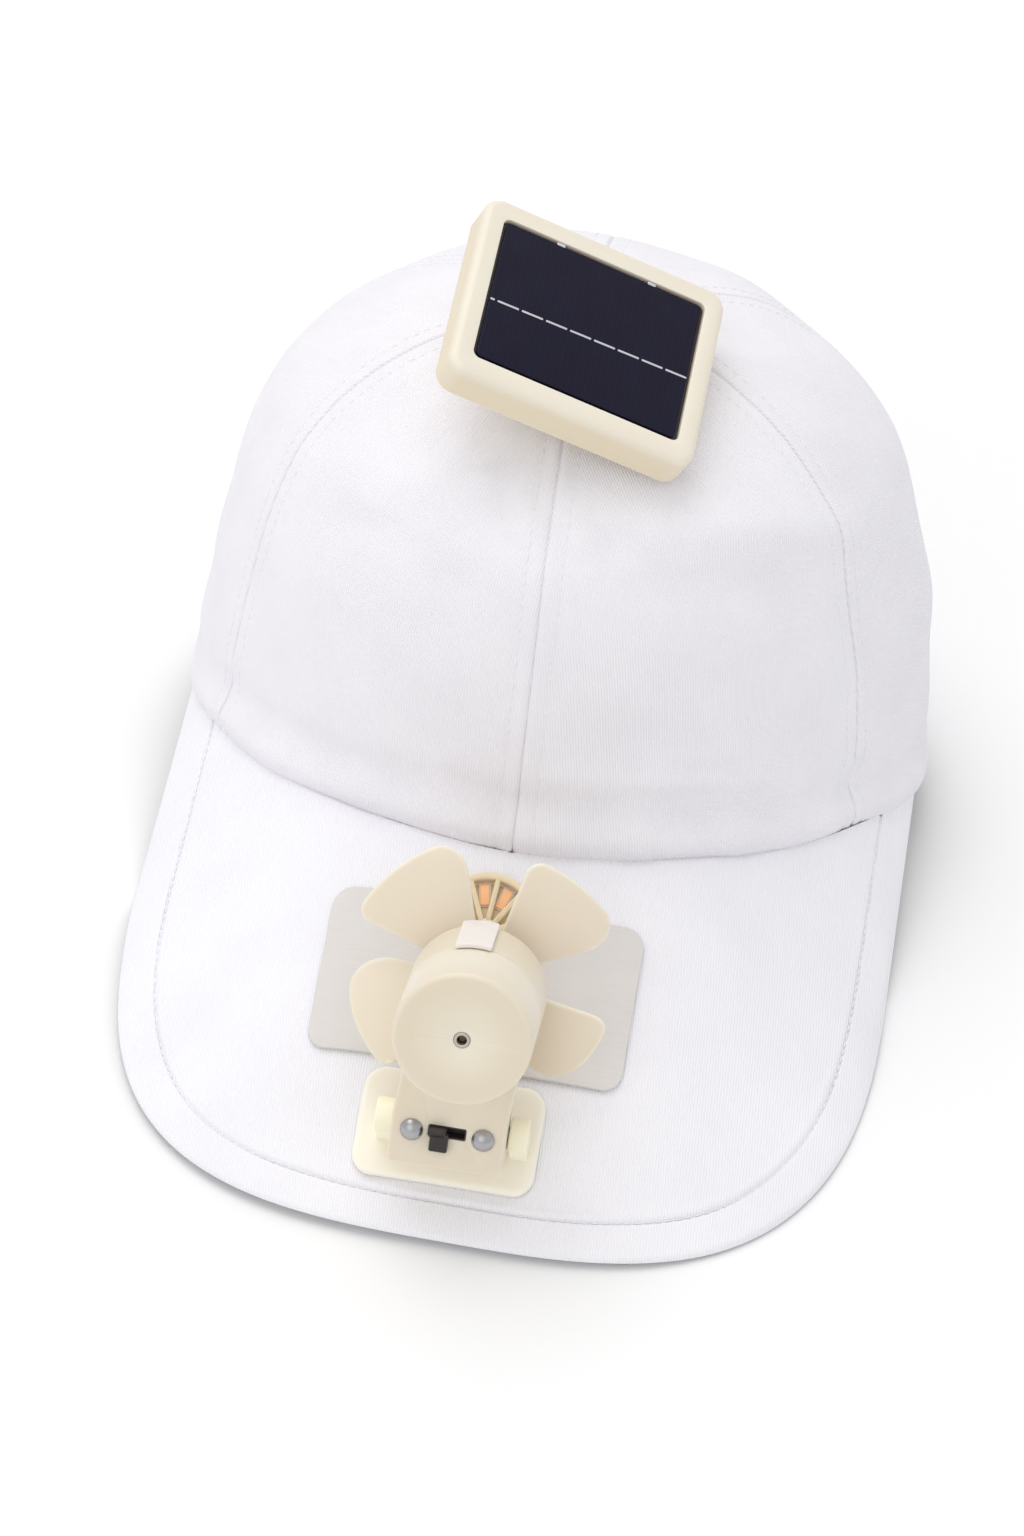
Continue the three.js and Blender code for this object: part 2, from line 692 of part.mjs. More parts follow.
const blades = BLADE_ANGLES.map((angle) => bladeBody(angle * DEG));
const hubHalf = PROPELLER.hubLong / 2;
const propeller = carve(
  [rod(PROPELLER.hub, -hubHalf, hubHalf, 32), ...blades],
  [rod(SHAFT.radius + RUN_GAP, -hubHalf - 1, hubHalf + 1, 16)],
);
propeller.translate(ARM.lean, ARM.rise, PROPELLER.plane);
addMesh(head, 'propeller', propeller, plastic(0xf0e7cf, 0.4));

// Light cell panel, turned and lifted over the crown top
const panel = new THREE.Group();
panel.position.set(PANEL.x, PANEL.y, PANEL.z);
panel.rotation.set(PANEL.turnX, PANEL.turnY, PANEL.turnZ, 'ZYX');
cap.add(panel);
const frameShape = roundedRectangle(
  FRAME.width - 2 * FRAME.bevel,
  FRAME.high - 2 * FRAME.bevel,
  FRAME.corner - FRAME.bevel,
);
const frameSolid = new THREE.ExtrudeGeometry(frameShape, {
  depth: FRAME.thick - 2 * FRAME.bevel, bevelEnabled: true, bevelSize: FRAME.bevel,
  bevelThickness: FRAME.bevel, bevelSegments: 2, curveSegments: 6,
});
frameSolid.translate(0, 0, -FRAME.thick + FRAME.bevel);
const pocket = block(
  -CELL.width / 2, CELL.width / 2, -CELL.high / 2, CELL.high / 2, -CELL.pocket, 1,
);
addMesh(panel, 'solar_frame', carve([frameSolid], [pocket]), CREAM);
const cellBody = new THREE.BoxGeometry(
  CELL.width - 2 * RUN_GAP, CELL.high - 2 * RUN_GAP, CELL.thick,
);
cellBody.translate(0, 0, -CELL.pocket + 0.1 + CELL.thick / 2);
addMesh(panel, 'solar_cell', cellBody, new THREE.MeshStandardMaterial({
  color: 0x22202e, roughness: 0.2, metalness: 0.3,
}));

// Short post under the panel, its foot cut to the crown
panel.updateMatrix();
const postTop = -FRAME.thick - RUN_GAP;
const postBody = rod(POST.radius, postTop - POST.long, postTop, 28);
postBody.applyMatrix4(panel.matrix);
addMesh(cap, 'panel_post', carve([postBody], [crownBlock(RUN_GAP + 0.2)]), CREAM);

// The origin lies under the middle of the whole part's box
const whole = new THREE.Box3().setFromObject(cap);
cap.position.x = -(whole.min.x + whole.max.x) / 2;
cap.position.y = -(whole.min.y + whole.max.y) / 2;

export default cap;
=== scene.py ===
"""A white cloth cap with a small cream fan hinged on its brim and a light cell panel on its crown.

Sizes are millimetres in the cap's own frame: the crown's centre at x = y = 0, the brim toward -Y,
the table at z = 0. A Seat carries each sub-assembly into the shared frame, in metres.
"""

import json
import logging
import math
from collections.abc import Callable
from dataclasses import dataclass, field
from enum import Enum

import bmesh
import bpy
import numpy as np
from mathutils import Matrix, Vector

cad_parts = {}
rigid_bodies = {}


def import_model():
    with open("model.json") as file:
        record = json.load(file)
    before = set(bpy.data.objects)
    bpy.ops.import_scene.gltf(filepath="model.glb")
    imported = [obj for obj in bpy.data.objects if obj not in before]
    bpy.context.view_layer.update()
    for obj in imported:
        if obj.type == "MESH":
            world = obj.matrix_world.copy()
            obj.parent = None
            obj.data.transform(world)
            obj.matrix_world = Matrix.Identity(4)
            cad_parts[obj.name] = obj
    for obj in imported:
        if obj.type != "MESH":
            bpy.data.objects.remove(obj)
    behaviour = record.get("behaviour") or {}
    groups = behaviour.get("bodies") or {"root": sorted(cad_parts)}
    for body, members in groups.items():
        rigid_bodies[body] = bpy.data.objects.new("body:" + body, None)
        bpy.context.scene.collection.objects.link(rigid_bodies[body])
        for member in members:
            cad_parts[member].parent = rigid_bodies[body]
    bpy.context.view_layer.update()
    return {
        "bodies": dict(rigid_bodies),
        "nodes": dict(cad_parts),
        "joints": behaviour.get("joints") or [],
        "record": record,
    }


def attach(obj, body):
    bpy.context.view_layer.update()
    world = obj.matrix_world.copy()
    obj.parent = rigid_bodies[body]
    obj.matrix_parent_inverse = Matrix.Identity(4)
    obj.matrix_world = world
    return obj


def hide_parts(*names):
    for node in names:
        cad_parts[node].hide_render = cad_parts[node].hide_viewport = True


LOG = logging.getLogger("fan_cap")
MM = 0.001
GAP = 0.3

Array = np.ndarray
Colour = tuple[float, float, float, float]
Outline = list[tuple[float, float]]
Rings = list[tuple[Outline, float]]
Piece = bpy.types.Object
Socket = bpy.types.NodeSocket


def tint(red: int, green: int, blue: int) -> Colour:
    """Linear colour of a display colour.

    Args:
        red: its red, 0 to 255.
        green: its green, 0 to 255.
        blue: its blue, 0 to 255.

    Returns:
        The colour with full cover.
    """
    values = [c / 255 for c in (red, green, blue)]
    bent = [v / 12.92 if v <= 0.04045 else ((v + 0.055) / 1.055) ** 2.4 for v in values]
    return (bent[0], bent[1], bent[2], 1.0)


def signed_power(value: Array, power: float) -> Array:
    """Power that keeps the sign of its base."""
    return np.sign(value) * np.abs(value) ** power


def bump(distance: Array, middle: float, spread: float) -> Array:
    """Bell of height one round a middle distance."""
    return np.exp(-(((distance - middle) / spread) ** 2))


def round_off(distance: Array, radius: float) -> Array:
    """Drop of a rounded rim at distances in from the edge."""
    inside = (radius - np.minimum(distance, radius)) / radius
    return radius * (1 - np.sqrt(np.clip(1 - inside**2, 0, 1)))


@dataclass(frozen=True)
class Swell:
    """A soft rise of the cloth, or a dip where the size is negative."""

    size: float
    at: float
    spread: float

    def over(self, distance: Array) -> Array:
        """Heights at distances."""
        return self.size * bump(distance, self.at, self.spread)


# The forms that the pieces share


@dataclass(frozen=True)
class CapForm:
    """Sizes of the cap's cloth and the smooth curves that they give."""

    half_width: float = 88.4
    front: float = 92.9
    back: float = 80.9
    height: float = 136.5
    plan: float = 1.8
    profile_front: float = 2.9
    profile_back: float = 2.4
    apex_x: float = -2.3
    apex_y: float = -11.6
    wall_dip: float = 0.028
    cloth: float = 1.8
    dip_end: float = 2.2
    hems: tuple[float, ...] = (45.7, 44.8, 40.6, 33.9, 27.1, 17.1, 9.6)
    hem_step: float = 15.0
    brim_half: float = 86.7
    brim_reach: float = 82.0
    brim_start: float = 74.3
    brim_exponent: float = 2.9
    brim_cloth: float = 2.4
    brim_edge: float = 2.0
    shoulder_rise: float = 9.0
    shoulder_x: float = 41.0
    shoulder_spread: float = 20.0
    shoulder_start: float = 0.12

    def hem_height(self, angle: Array) -> Array:
        """Height of the hem.

        Args:
            angle: angles from the front centre, in radians.

        Returns:
            Heights in millimetres, a smooth curve through the table of hems.
        """
        turn = np.degrees(np.abs(np.arctan2(np.sin(angle), np.cos(angle))))
        table = np.array(self.hems)
        slope = np.zeros_like(table)
        slope[1:-1] = (table[2:] - table[:-2]) / 2
        slope[-1] = -self.hems[-1] * math.radians(self.hem_step)
        place = np.clip(turn / self.hem_step, 0, len(table) - 1 - 1e-9)
        row = np.floor(place).astype(int)
        t = place - row
        a, b = table[row], table[row + 1]
        ma, mb = slope[row], slope[row + 1]
        curve = ((2 * t - 3) * t * t + 1) * a + ((t - 2) * t + 1) * t * ma
        curve = curve + (3 - 2 * t) * t * t * b + (t - 1) * t * t * mb
        behind = self.hems[-1] * (1 + np.cos(np.radians(turn)))
        return np.where(turn >= 90, behind, curve)

    def point(self, angle: Array, climb: Array) -> Array:
        """Points of the crown.

        Args:
            angle: angles from the front centre, in radians.
            climb: 0 at the hem to 1 at the apex.

        Returns:
            Points in an array with a last axis of three.
        """
        phase = climb * np.pi / 2
        c, s = np.cos(angle), np.sin(angle)
        exponent = self.profile_back + (self.profile_front - self.profile_back) * (0.5 + 0.5 * c)
        shrink = np.maximum(np.cos(phase), 0) ** (2 / exponent)
        lift = np.sin(phase) ** (2 / exponent)
        depth = np.where(c > 0, self.front, self.back)
        dip = 1 - self.wall_dip * np.sin(np.minimum(climb * self.dip_end, 1) * np.pi)
        hem = self.hem_height(angle)
        across = signed_power(s, 2 / self.plan)
        along = signed_power(c, 2 / self.plan)
        x = self.half_width * across * shrink * dip + self.apex_x * (1 - shrink)
        y = -depth * along * shrink * dip + self.apex_y * (1 - shrink)
        return np.stack([x, y, hem + (self.height - hem) * lift], -1)

    def normal(self, angle: Array, climb: Array) -> Array:
        """Outward unit normals of the crown.

        Args:
            angle: angles from the front centre, in radians.
            climb: 0 at the hem to 1 at the apex.

        Returns:
            Normals in an array with a last axis of three.
        """
        step = 0.004
        high = np.clip(climb, 0.012, 0.985)
        along = self.point(angle + step, high) - self.point(angle - step, high)
        up = self.point(angle, high + step) - self.point(angle, high - step)
        cross = np.cross(along, up)
        return cross / np.linalg.norm(cross, axis=-1, keepdims=True)

    def hem_at(self, x: Array) -> tuple[Array, Array]:
        """Finds the front hem.

        Args:
            x: places across the cap.

        Returns:
            The hem's place along y and its height.
        """
        across = np.minimum(np.abs(x) / self.half_width, 1)
        s = across ** (self.plan / 2)
        c = np.sqrt(np.maximum(1 - s * s, 0))
        return -self.front * c ** (2 / self.plan), self.hem_height(np.arctan2(s, c))

    def brim_edge_y(self, x: Array) -> Array:
        """Finds the outer edge of the brim in plan.

        Args:
            x: places across the cap.

        Returns:
            The edge's places along y.
        """
        across = np.minimum(np.abs(x) / self.brim_half, 1)
        tip = self.front + self.brim_reach
        curve = np.maximum(1 - across**self.brim_exponent, 0) ** (1 / self.brim_exponent)
        return -self.brim_start - (tip - self.brim_start) * curve

    def brim_height(self, x: Array, y: Array) -> Array:
        """Finds the height of the brim's top.

        Args:
            x: places across the cap.
            y: places along it.

        Returns:
            Heights in millimetres.
        """
        hem_y, hem_z = self.hem_at(x)
        part = np.clip((y - hem_y) / (self.brim_edge_y(x) - hem_y), 0, 1)
        side = bump(np.abs(x), self.shoulder_x, self.shoulder_spread)
        rise = self.shoulder_rise * side * (1 - part) * (1 - np.exp(-part / self.shoulder_start))
        return hem_z * (1 - part) + self.brim_edge * part + rise

    def over_brim(self, points: Array) -> Array:
        """Lays points on the brim.

        Args:
            points: x and y in plan and z the height over the brim.

        Returns:
            The points moved along the brim's normal.
        """
        x, y, z = points[..., 0], points[..., 1], points[..., 2]
        step = 1.5
        dx = (self.brim_height(x + step, y) - self.brim_height(x - step, y)) / (2 * step)
        dy = (self.brim_height(x, y + step) - self.brim_height(x, y - step)) / (2 * step)
        normal = np.stack([-dx, -dy, np.ones_like(dx)], -1)
        normal = normal / np.linalg.norm(normal, axis=-1, keepdims=True)
        return np.stack([x, y, self.brim_height(x, y)], -1) + normal * z[..., None]

    def slope(self) -> tuple[Array, Array]:
        """Finds how the middle of the brim slopes.

        Returns:
            Unit vectors up the brim's middle and out of it.
        """
        up = np.array([0, self.brim_reach, self.hems[0] - self.brim_edge])
        up = up / np.linalg.norm(up)
        return up, np.cross([1, 0, 0], up)


CAP = CapForm()


@dataclass(frozen=True)
class HeadForm:
    """Places that the fan's parts share: x across, y up the arm, z forward along the shaft."""

    pivot_x: float = -1.3
    pivot_y: float = -153.4
    pivot_height: float = 12.5
    elevation: float = 21.1
    lean: float = 1.6
    rise: float = 30.6
    barrel: float = 14.6
    arm_half: float = 12.1
    arm_front: float = 11.2
    arm_back: float = -2.2
    pin: float = 1.5

    def pivot(self) -> Array:
        """Middle of the hinge line in the cap's frame."""
        foot = CAP.over_brim(np.array([self.pivot_x, self.pivot_y, 0.0]))
        return foot + CAP.slope()[1] * self.pivot_height


HEAD = HeadForm()


@dataclass(frozen=True)
class Seat:
    """Where a sub-assembly's own frame stands, and the body that its pieces ride on."""

    matrix: Matrix
    body: str


@dataclass(frozen=True)
class Seats:
    """The frames of the cap, the fan head and the panel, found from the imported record."""

    shift: float

    @classmethod
    def from_joints(cls, joints: list[dict]) -> "Seats":
        """Reads the hinge's place in the shared frame to find the cap's own origin.

        Args:
            joints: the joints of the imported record.

        Returns:
            The frames, with the cap's shift along y in millimetres.
        """
        tilt = next(j for j in joints if j["name"] == "fan_tilt")
        return cls(shift=tilt["pos_m"][1] / MM - HEAD.pivot()[1])

    def cap(self) -> Seat:
        """Frame of the cap's cloth."""
        move = Matrix.Translation((0, self.shift * MM, 0))
        return Seat(move @ Matrix.Scale(MM, 4), "cap")

    def head(self, body: str = "fan_head") -> Seat:
        """Frame of the fan head, for the body that is named."""
        turn = Matrix.Rotation(math.radians(90 - HEAD.elevation), 4, "X")
        return Seat(self.cap().matrix @ Matrix.Translation(HEAD.pivot()) @ turn, body)

    def panel(self, centre: tuple[float, float, float], turns: tuple[float, float, float]) -> Seat:
        """Frame of the light cell panel, with its face at z = 0.

        Args:
            centre: middle of the face in the cap's frame.
            turns: turns about x, y and z in radians, x first.

        Returns:
            The frame, which rides on the cap.
        """
        about = [Matrix.Rotation(a, 4, n) for a, n in zip(turns, "XYZ")]
        turn = about[2] @ about[1] @ about[0]
        return Seat(self.cap().matrix @ Matrix.Translation(centre) @ turn, "cap")


# Mesh making


def make_mesh(name: str, points: Array, faces: list, weave: Array | None = None) -> Piece:
    """Makes a smooth-shaded mesh object with its faces turned outward.

    Args:
        name: the piece's name.
        points: an array of points.
        faces: lists of point numbers.
        weave: cloth coordinates in millimetres, one row for each point.

    Returns:
        The object, linked to the scene.
    """
    mesh = bpy.data.meshes.new(name)
    mesh.from_pydata(np.asarray(points).reshape(-1, 3).tolist(), [], faces)
    work = bmesh.new()
    work.from_mesh(mesh)
    bmesh.ops.recalc_face_normals(work, faces=work.faces)
    work.to_mesh(mesh)
    work.free()
    if weave is not None:
        layer = mesh.attributes.new("weave", "FLOAT_VECTOR", "POINT")
        layer.data.foreach_set("vector", np.asarray(weave, float).reshape(-1))
    piece = bpy.data.objects.new(name, mesh)
    bpy.context.scene.collection.objects.link(piece)
    smooth(piece)
    return piece


def smooth(piece: Piece, angle: float = 32) -> None:
    """Shades a piece smooth, with edges sharper than the angle in degrees kept."""
    piece.data.polygons.foreach_set("use_smooth", [True] * len(piece.data.polygons))
    piece.data.set_sharp_from_angle(angle=math.radians(angle))


def grid_faces(rows: int, columns: int, start: int = 0, closed: bool = False) -> Array:
    """Quads of a grid of points, row by row.

    Args:
        rows: rows of points.
        columns: points in a row.
        start: number of the first point.
        closed: whether each row joins up with its own start.

    Returns:
        An array of quads.
    """
    index = start + np.arange(rows * columns).reshape(rows, columns)
    if closed:
        index = np.concatenate([index, index[:, :1]], 1)
    corners = [index[:-1, :-1], index[:-1, 1:], index[1:, 1:], index[1:, :-1]]
    return np.stack(corners, -1).reshape(-1, 4)


def shell(name: str, top: Array, bottom: Array, quads: Array, weave: Array) -> Piece:
    """Closes two matching sheets of points into one wall of cloth.

    Args:
        name: the piece's name.
        top: points of the outer sheet.
        bottom: points of the inner sheet, in the same order.
        quads: quads of the outer sheet.
        weave: cloth coordinates of the outer sheet's points.

    Returns:
        The closed piece.
    """
    count = len(top)
    starts = quads.reshape(-1)
    ends = np.roll(quads, -1, axis=1).reshape(-1)
    lone = ~np.isin(starts * count + ends, ends * count + starts)
    a, b = starts[lone], ends[lone]
    sides = np.stack([b, a, a + count, b + count], -1)
    faces = np.concatenate([quads, quads[:, ::-1] + count, sides]).tolist()
    return make_mesh(name, np.concatenate([top, bottom]), faces, np.concatenate([weave, weave]))


def stack(name: str, rings: Rings, open_loop: bool = False) -> Piece:
    """Skins outlines of equal length at rising heights.

    Args:
        name: the piece's name.
        rings: pairs of an outline and its height.
        open_loop: whether the last ring joins the first, as in a tube, with no caps.

    Returns:
        The closed piece.
    """
    count = len(rings[0][0])
    points = [(x, y, z) for outline, z in rings for x, y in outline]
    faces = grid_faces(len(rings), count, closed=True).tolist()
    last = (len(rings) - 1) * count
    if open_loop:
        ring = np.arange(count)
        after = np.roll(ring, -1)
        faces += np.stack([last + ring, last + after, after, ring], -1).tolist()
    else:
        faces += [list(range(count))[::-1], list(range(last, last + count))]
    return make_mesh(name, np.array(points, float), faces)


def turned(name: str, profile: Outline, sides: int = 72, x: float = 0, y: float = 0) -> Piece:
    """Turns an open profile about z; ends on the axis close it, and other ends join up.

    Args:
        name: the piece's name.
        profile: pairs of radius and height.
        sides: sides of the turned form.
        x: place of the axis.
        y: place of the axis.

    Returns:
        The closed piece.
    """
    turn = np.arange(sides) * 2 * np.pi / sides
    rings = []
    for radius, height in profile:
        radius = max(radius, 0.004)
        rings.append((list(zip(x + radius * np.cos(turn), y + radius * np.sin(turn))), height))
    tube = profile[0][0] > 0.01 and profile[-1][0] > 0.01
    return stack(name, rings, open_loop=tube)


def round_corners(points: Outline, radii: list[float], steps: int = 6) -> Outline:
    """Rounds the corners of a closed outline.

    Args:
        points: corners in order.
        radii: the radius at each corner.
        steps: steps in each arc.

    Returns:
        The finer outline.
    """
    made: Outline = []
    for i, (point, radius) in enumerate(zip(points, radii)):
        here = Vector(point)
        before = (Vector(points[i - 1]) - here).normalized()
        after = (Vector(points[(i + 1) % len(points)]) - here).normalized()
        half = before.angle(after) / 2
        if radius <= 0 or half > math.radians(88):
            made.append((here.x, here.y))
            continue
        middle = here + (before + after).normalized() * (radius / math.sin(half))
        first = here + before * (radius / math.tan(half)) - middle
        last = here + after * (radius / math.tan(half)) - middle
        for k in range(steps + 1):
            arm = first.lerp(last, k / steps)
            spot = middle + arm.normalized() * radius
            made.append((spot.x, spot.y))
    return made


def rectangle(width: float, high: float, corner: float, steps: int = 8) -> Outline:
    """Rectangle with round corners about the origin.

    Args:
        width: its size along x.
        high: its size along y.
        corner: radius of its corners.
        steps: steps in each corner.

    Returns:
        The outline, counterclockwise.
    """
    x, y = width / 2, high / 2
    corners = [(x, -y), (x, y), (-x, y), (-x, -y)]
    return round_corners(corners, [corner] * 4, steps)


def refine(outline: Outline, step: float) -> Outline:
    """Adds points to a closed outline.

    Args:
        outline: the outline.
        step: the longest side that is left.

    Returns:
        The finer outline.
    """
    made: Outline = []
    for i, (x, y) in enumerate(outline):
        nx, ny = outline[(i + 1) % len(outline)]
        parts = max(1, math.ceil(math.hypot(nx - x, ny - y) / step))
        made += [(x + (nx - x) * k / parts, y + (ny - y) * k / parts) for k in range(parts)]
    return made


def inset(outline: Outline, distance: float) -> Outline:
    """Moves a closed outline inward.

    Args:
        outline: points that run counterclockwise.
        distance: how far to move, in millimetres.

    Returns:
        The moved outline, point for point.
    """
    p = np.array(outline, float)
    ahead = np.roll(p, -1, 0) - p
    ahead = ahead / np.linalg.norm(ahead, axis=1, keepdims=True)
    behind = np.roll(ahead, 1, 0)
    side_a = np.stack([-ahead[:, 1], ahead[:, 0]], -1)
    side_b = np.stack([-behind[:, 1], behind[:, 0]], -1)
    mid = side_a + side_b
    mid = mid / np.maximum(np.sum(mid * side_a, 1, keepdims=True), 0.5)
    return [tuple(v) for v in p + mid * distance]


def pillow(outline: Outline, low: float, high: float, round_low: float, round_high: float) -> Rings:
    """Rings of a prism whose two rims are rounded.

    Args:
        outline: the prism's outline, counterclockwise.
        low: height of its lower face.
        high: height of its upper face.
        round_low: radius of the lower rim.
        round_high: radius of the upper rim.

    Returns:
        Rings for stack.
    """
    turns = [k / 5 * math.pi / 2 for k in range(6)]
    rings = [
        (inset(outline, round_low * (1 - math.sin(a))), low + round_low * (1 - math.cos(a))) for a in turns
    ]
    rings += [
        (inset(outline, round_high * (1 - math.cos(a))), high - round_high * (1 - math.sin(a))) for a in turns
    ]
    return rings


def prism(
    name: str, outline: Outline, low: float, high: float, low_round: float, high_round: float
) -> Piece:
    """Prism with rounded rims between two heights."""
    return stack(name, pillow(outline, low, high, low_round, high_round))


def slice_up(piece: Piece, step: float) -> None:
    """Cuts a flat piece's faces along x and y so that it can bend.

    Args:
        piece: the piece, before it is bent.
        step: distance between the cuts.
    """
    work = bmesh.new()
    work.from_mesh(piece.data)
    for axis in (0, 1):
        values = [v.co[axis] for v in work.verts]
        for at in np.arange(min(values) + step / 2, max(values), step):
            where, normal = Vector((0, 0, 0)), Vector((0, 0, 0))
            where[axis], normal[axis] = at, 1
            parts = [*work.verts, *work.edges, *work.faces]
            bmesh.ops.bisect_plane(work, geom=parts, dist=0.0005, plane_co=where, plane_no=normal)
    work.to_mesh(piece.data)
    work.free()


def carve(piece: Piece, cutters: list[Piece]) -> None:
    """Cuts closed cutters out of a piece and removes them.

    Args:
        piece: the piece to cut.
        cutters: the closed forms to take out of it.
    """
    for cutter in cutters:
        change = piece.modifiers.new("cut", "BOOLEAN")
        change.operation = "DIFFERENCE"
        change.solver = "EXACT"
        change.object = cutter
    bake(piece)
    for cutter in cutters:
        bpy.data.objects.remove(cutter)


def bake(piece: Piece) -> None:
    """Turns a piece's modifiers into its mesh.

    Args:
        piece: the piece, smooth again afterwards.
    """
    graph = bpy.context.evaluated_depsgraph_get()
    made = bpy.data.meshes.new_from_object(piece.evaluated_get(graph))
    piece.modifiers.clear()
    piece.data = made
    smooth(piece)


def join(piece: Piece, others: list[Piece]) -> Piece:
    """Puts the meshes of the others into the first piece.

    Args:
        piece: the piece that stays.
        others: the pieces that go into it.

    Returns:
        The first piece.
    """
    work = bmesh.new()
    work.from_mesh(piece.data)
    for other in others:
        work.from_mesh(other.data)
    work.to_mesh(piece.data)
    work.free()
    for other in others:
        bpy.data.objects.remove(other)
    smooth(piece)
    return piece


def flat_points(piece: Piece) -> Array:
    """Points of a piece in one flat row.

    Args:
        piece: the piece to read.

    Returns:
        Its coordinates one after the other.
    """
    flat = np.zeros(len(piece.data.vertices) * 3)
    piece.data.vertices.foreach_get("co", flat)
    return flat


def remap(piece: Piece, mapping: Callable[[Array], Array]) -> None:
    """Moves every point of a piece.

    Args:
        piece: the piece to change.
        mapping: a function from an array of points to the moved points.
    """
    moved = mapping(flat_points(piece).reshape(-1, 3))
    piece.data.vertices.foreach_set("co", np.asarray(moved).reshape(-1))
    piece.data.update()


def fan_out(piece: Piece, degrees: float, reach: float) -> None:
    """Moves a flat piece out along x and then turns it about z.

    Args:
        piece: the piece, made about the origin.
        degrees: the turn.
        reach: distance of its middle from the axis.
    """
    c, s = math.cos(math.radians(degrees)), math.sin(math.radians(degrees))
    remap(piece, lambda p: np.column_stack([
        (p[:, 0] + reach) * c - p[:, 1] * s, (p[:, 0] + reach) * s + p[:, 1] * c, p[:, 2],
    ]))


def shift(outline: Outline, x: float, y: float) -> Outline:
    """An outline moved along x and y."""
    return [(px + x, py + y) for px, py in outline]


def note_places(piece: Piece) -> None:
    """Keeps a piece's own millimetres as its weave coordinates."""
    layer = piece.data.attributes.new("weave", "FLOAT_VECTOR", "POINT")
    layer.data.foreach_set("vector", flat_points(piece))


def stitch_row(path: Array, normal: Array, pitch: float, length: float, thick: float) -> tuple[Array, Array]:
    """Lays single stitches along a path.

    Args:
        path: points of the path.
        normal: outward normals at the points.
        pitch: distance between stitches.
        length: length of one stitch.
        thick: radius of the thread.

    Returns:
        Points and quads of all the stitches.
    """
    run = np.concatenate([[0], np.cumsum(np.linalg.norm(np.diff(path, axis=0), axis=1))])
    along = np.arange(pitch / 2, run[-1], pitch)
    sides, bands = 7, 7
    grid = []
    for k, ring in enumerate(np.linspace(-1, 1, bands)):
        lift = thick * (1.1 * (1 - ring**4) - 0.75)
        girth = thick * (0.35 if k in (0, bands - 1) else 0.8 if k in (1, bands - 2) else 1.0)
        for turn in np.arange(sides) * 2 * np.pi / sides:
            grid.append((ring * length / 2, girth * math.cos(turn), lift + girth * math.sin(turn)))
    template = np.array(grid)
    faces = grid_faces(bands, sides, closed=True)
    at = np.stack([np.interp(along, run, path[:, i]) for i in range(3)], -1)
    ahead = np.stack([np.interp(along + 0.3, run, path[:, i]) for i in range(3)], -1) - at
    behind = at - np.stack([np.interp(along - 0.3, run, path[:, i]) for i in range(3)], -1)
    x_axis = ahead + behind
    x_axis /= np.linalg.norm(x_axis, axis=1, keepdims=True)
    out = np.stack([np.interp(along, run, normal[:, i]) for i in range(3)], -1)
    y_axis = np.cross(out, x_axis)
    y_axis /= np.linalg.norm(y_axis, axis=1, keepdims=True)
    z_axis = np.cross(x_axis, y_axis)
    frame = np.stack([x_axis, y_axis, z_axis], 1)
    made = np.einsum("vk,nkc->nvc", template, frame) + at[:, None, :]
    number = np.arange(len(at))[:, None, None] * len(template)
    return made.reshape(-1, 3), (faces[None] + number).reshape(-1, 4)


def stitches(name: str, rows: list[tuple[Array, Array]]) -> Piece:
    """Makes one piece of several rows of stitches.

    Args:
        name: the piece's name.
        rows: points and quads of each row.

    Returns:
        The piece.
    """
    points, quads, start = [], [], 0
    for row_points, row_quads in rows:
        points.append(row_points)
        quads.append(row_quads + start)
        start += len(row_points)
    return make_mesh(name, np.concatenate(points), np.concatenate(quads).tolist())


# Finishes


class Slot(Enum):
    """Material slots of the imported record."""

    CLOTH = "cloth"
    CREAM = "cream"
    BLADE = "blade_cream"
    PALE = "pale"
    AMBER = "amber"
    COPPER = "copper"
    STEEL = "steel"
    BLACK = "black"
    PLATE = "plate"
    CELL = "cell"


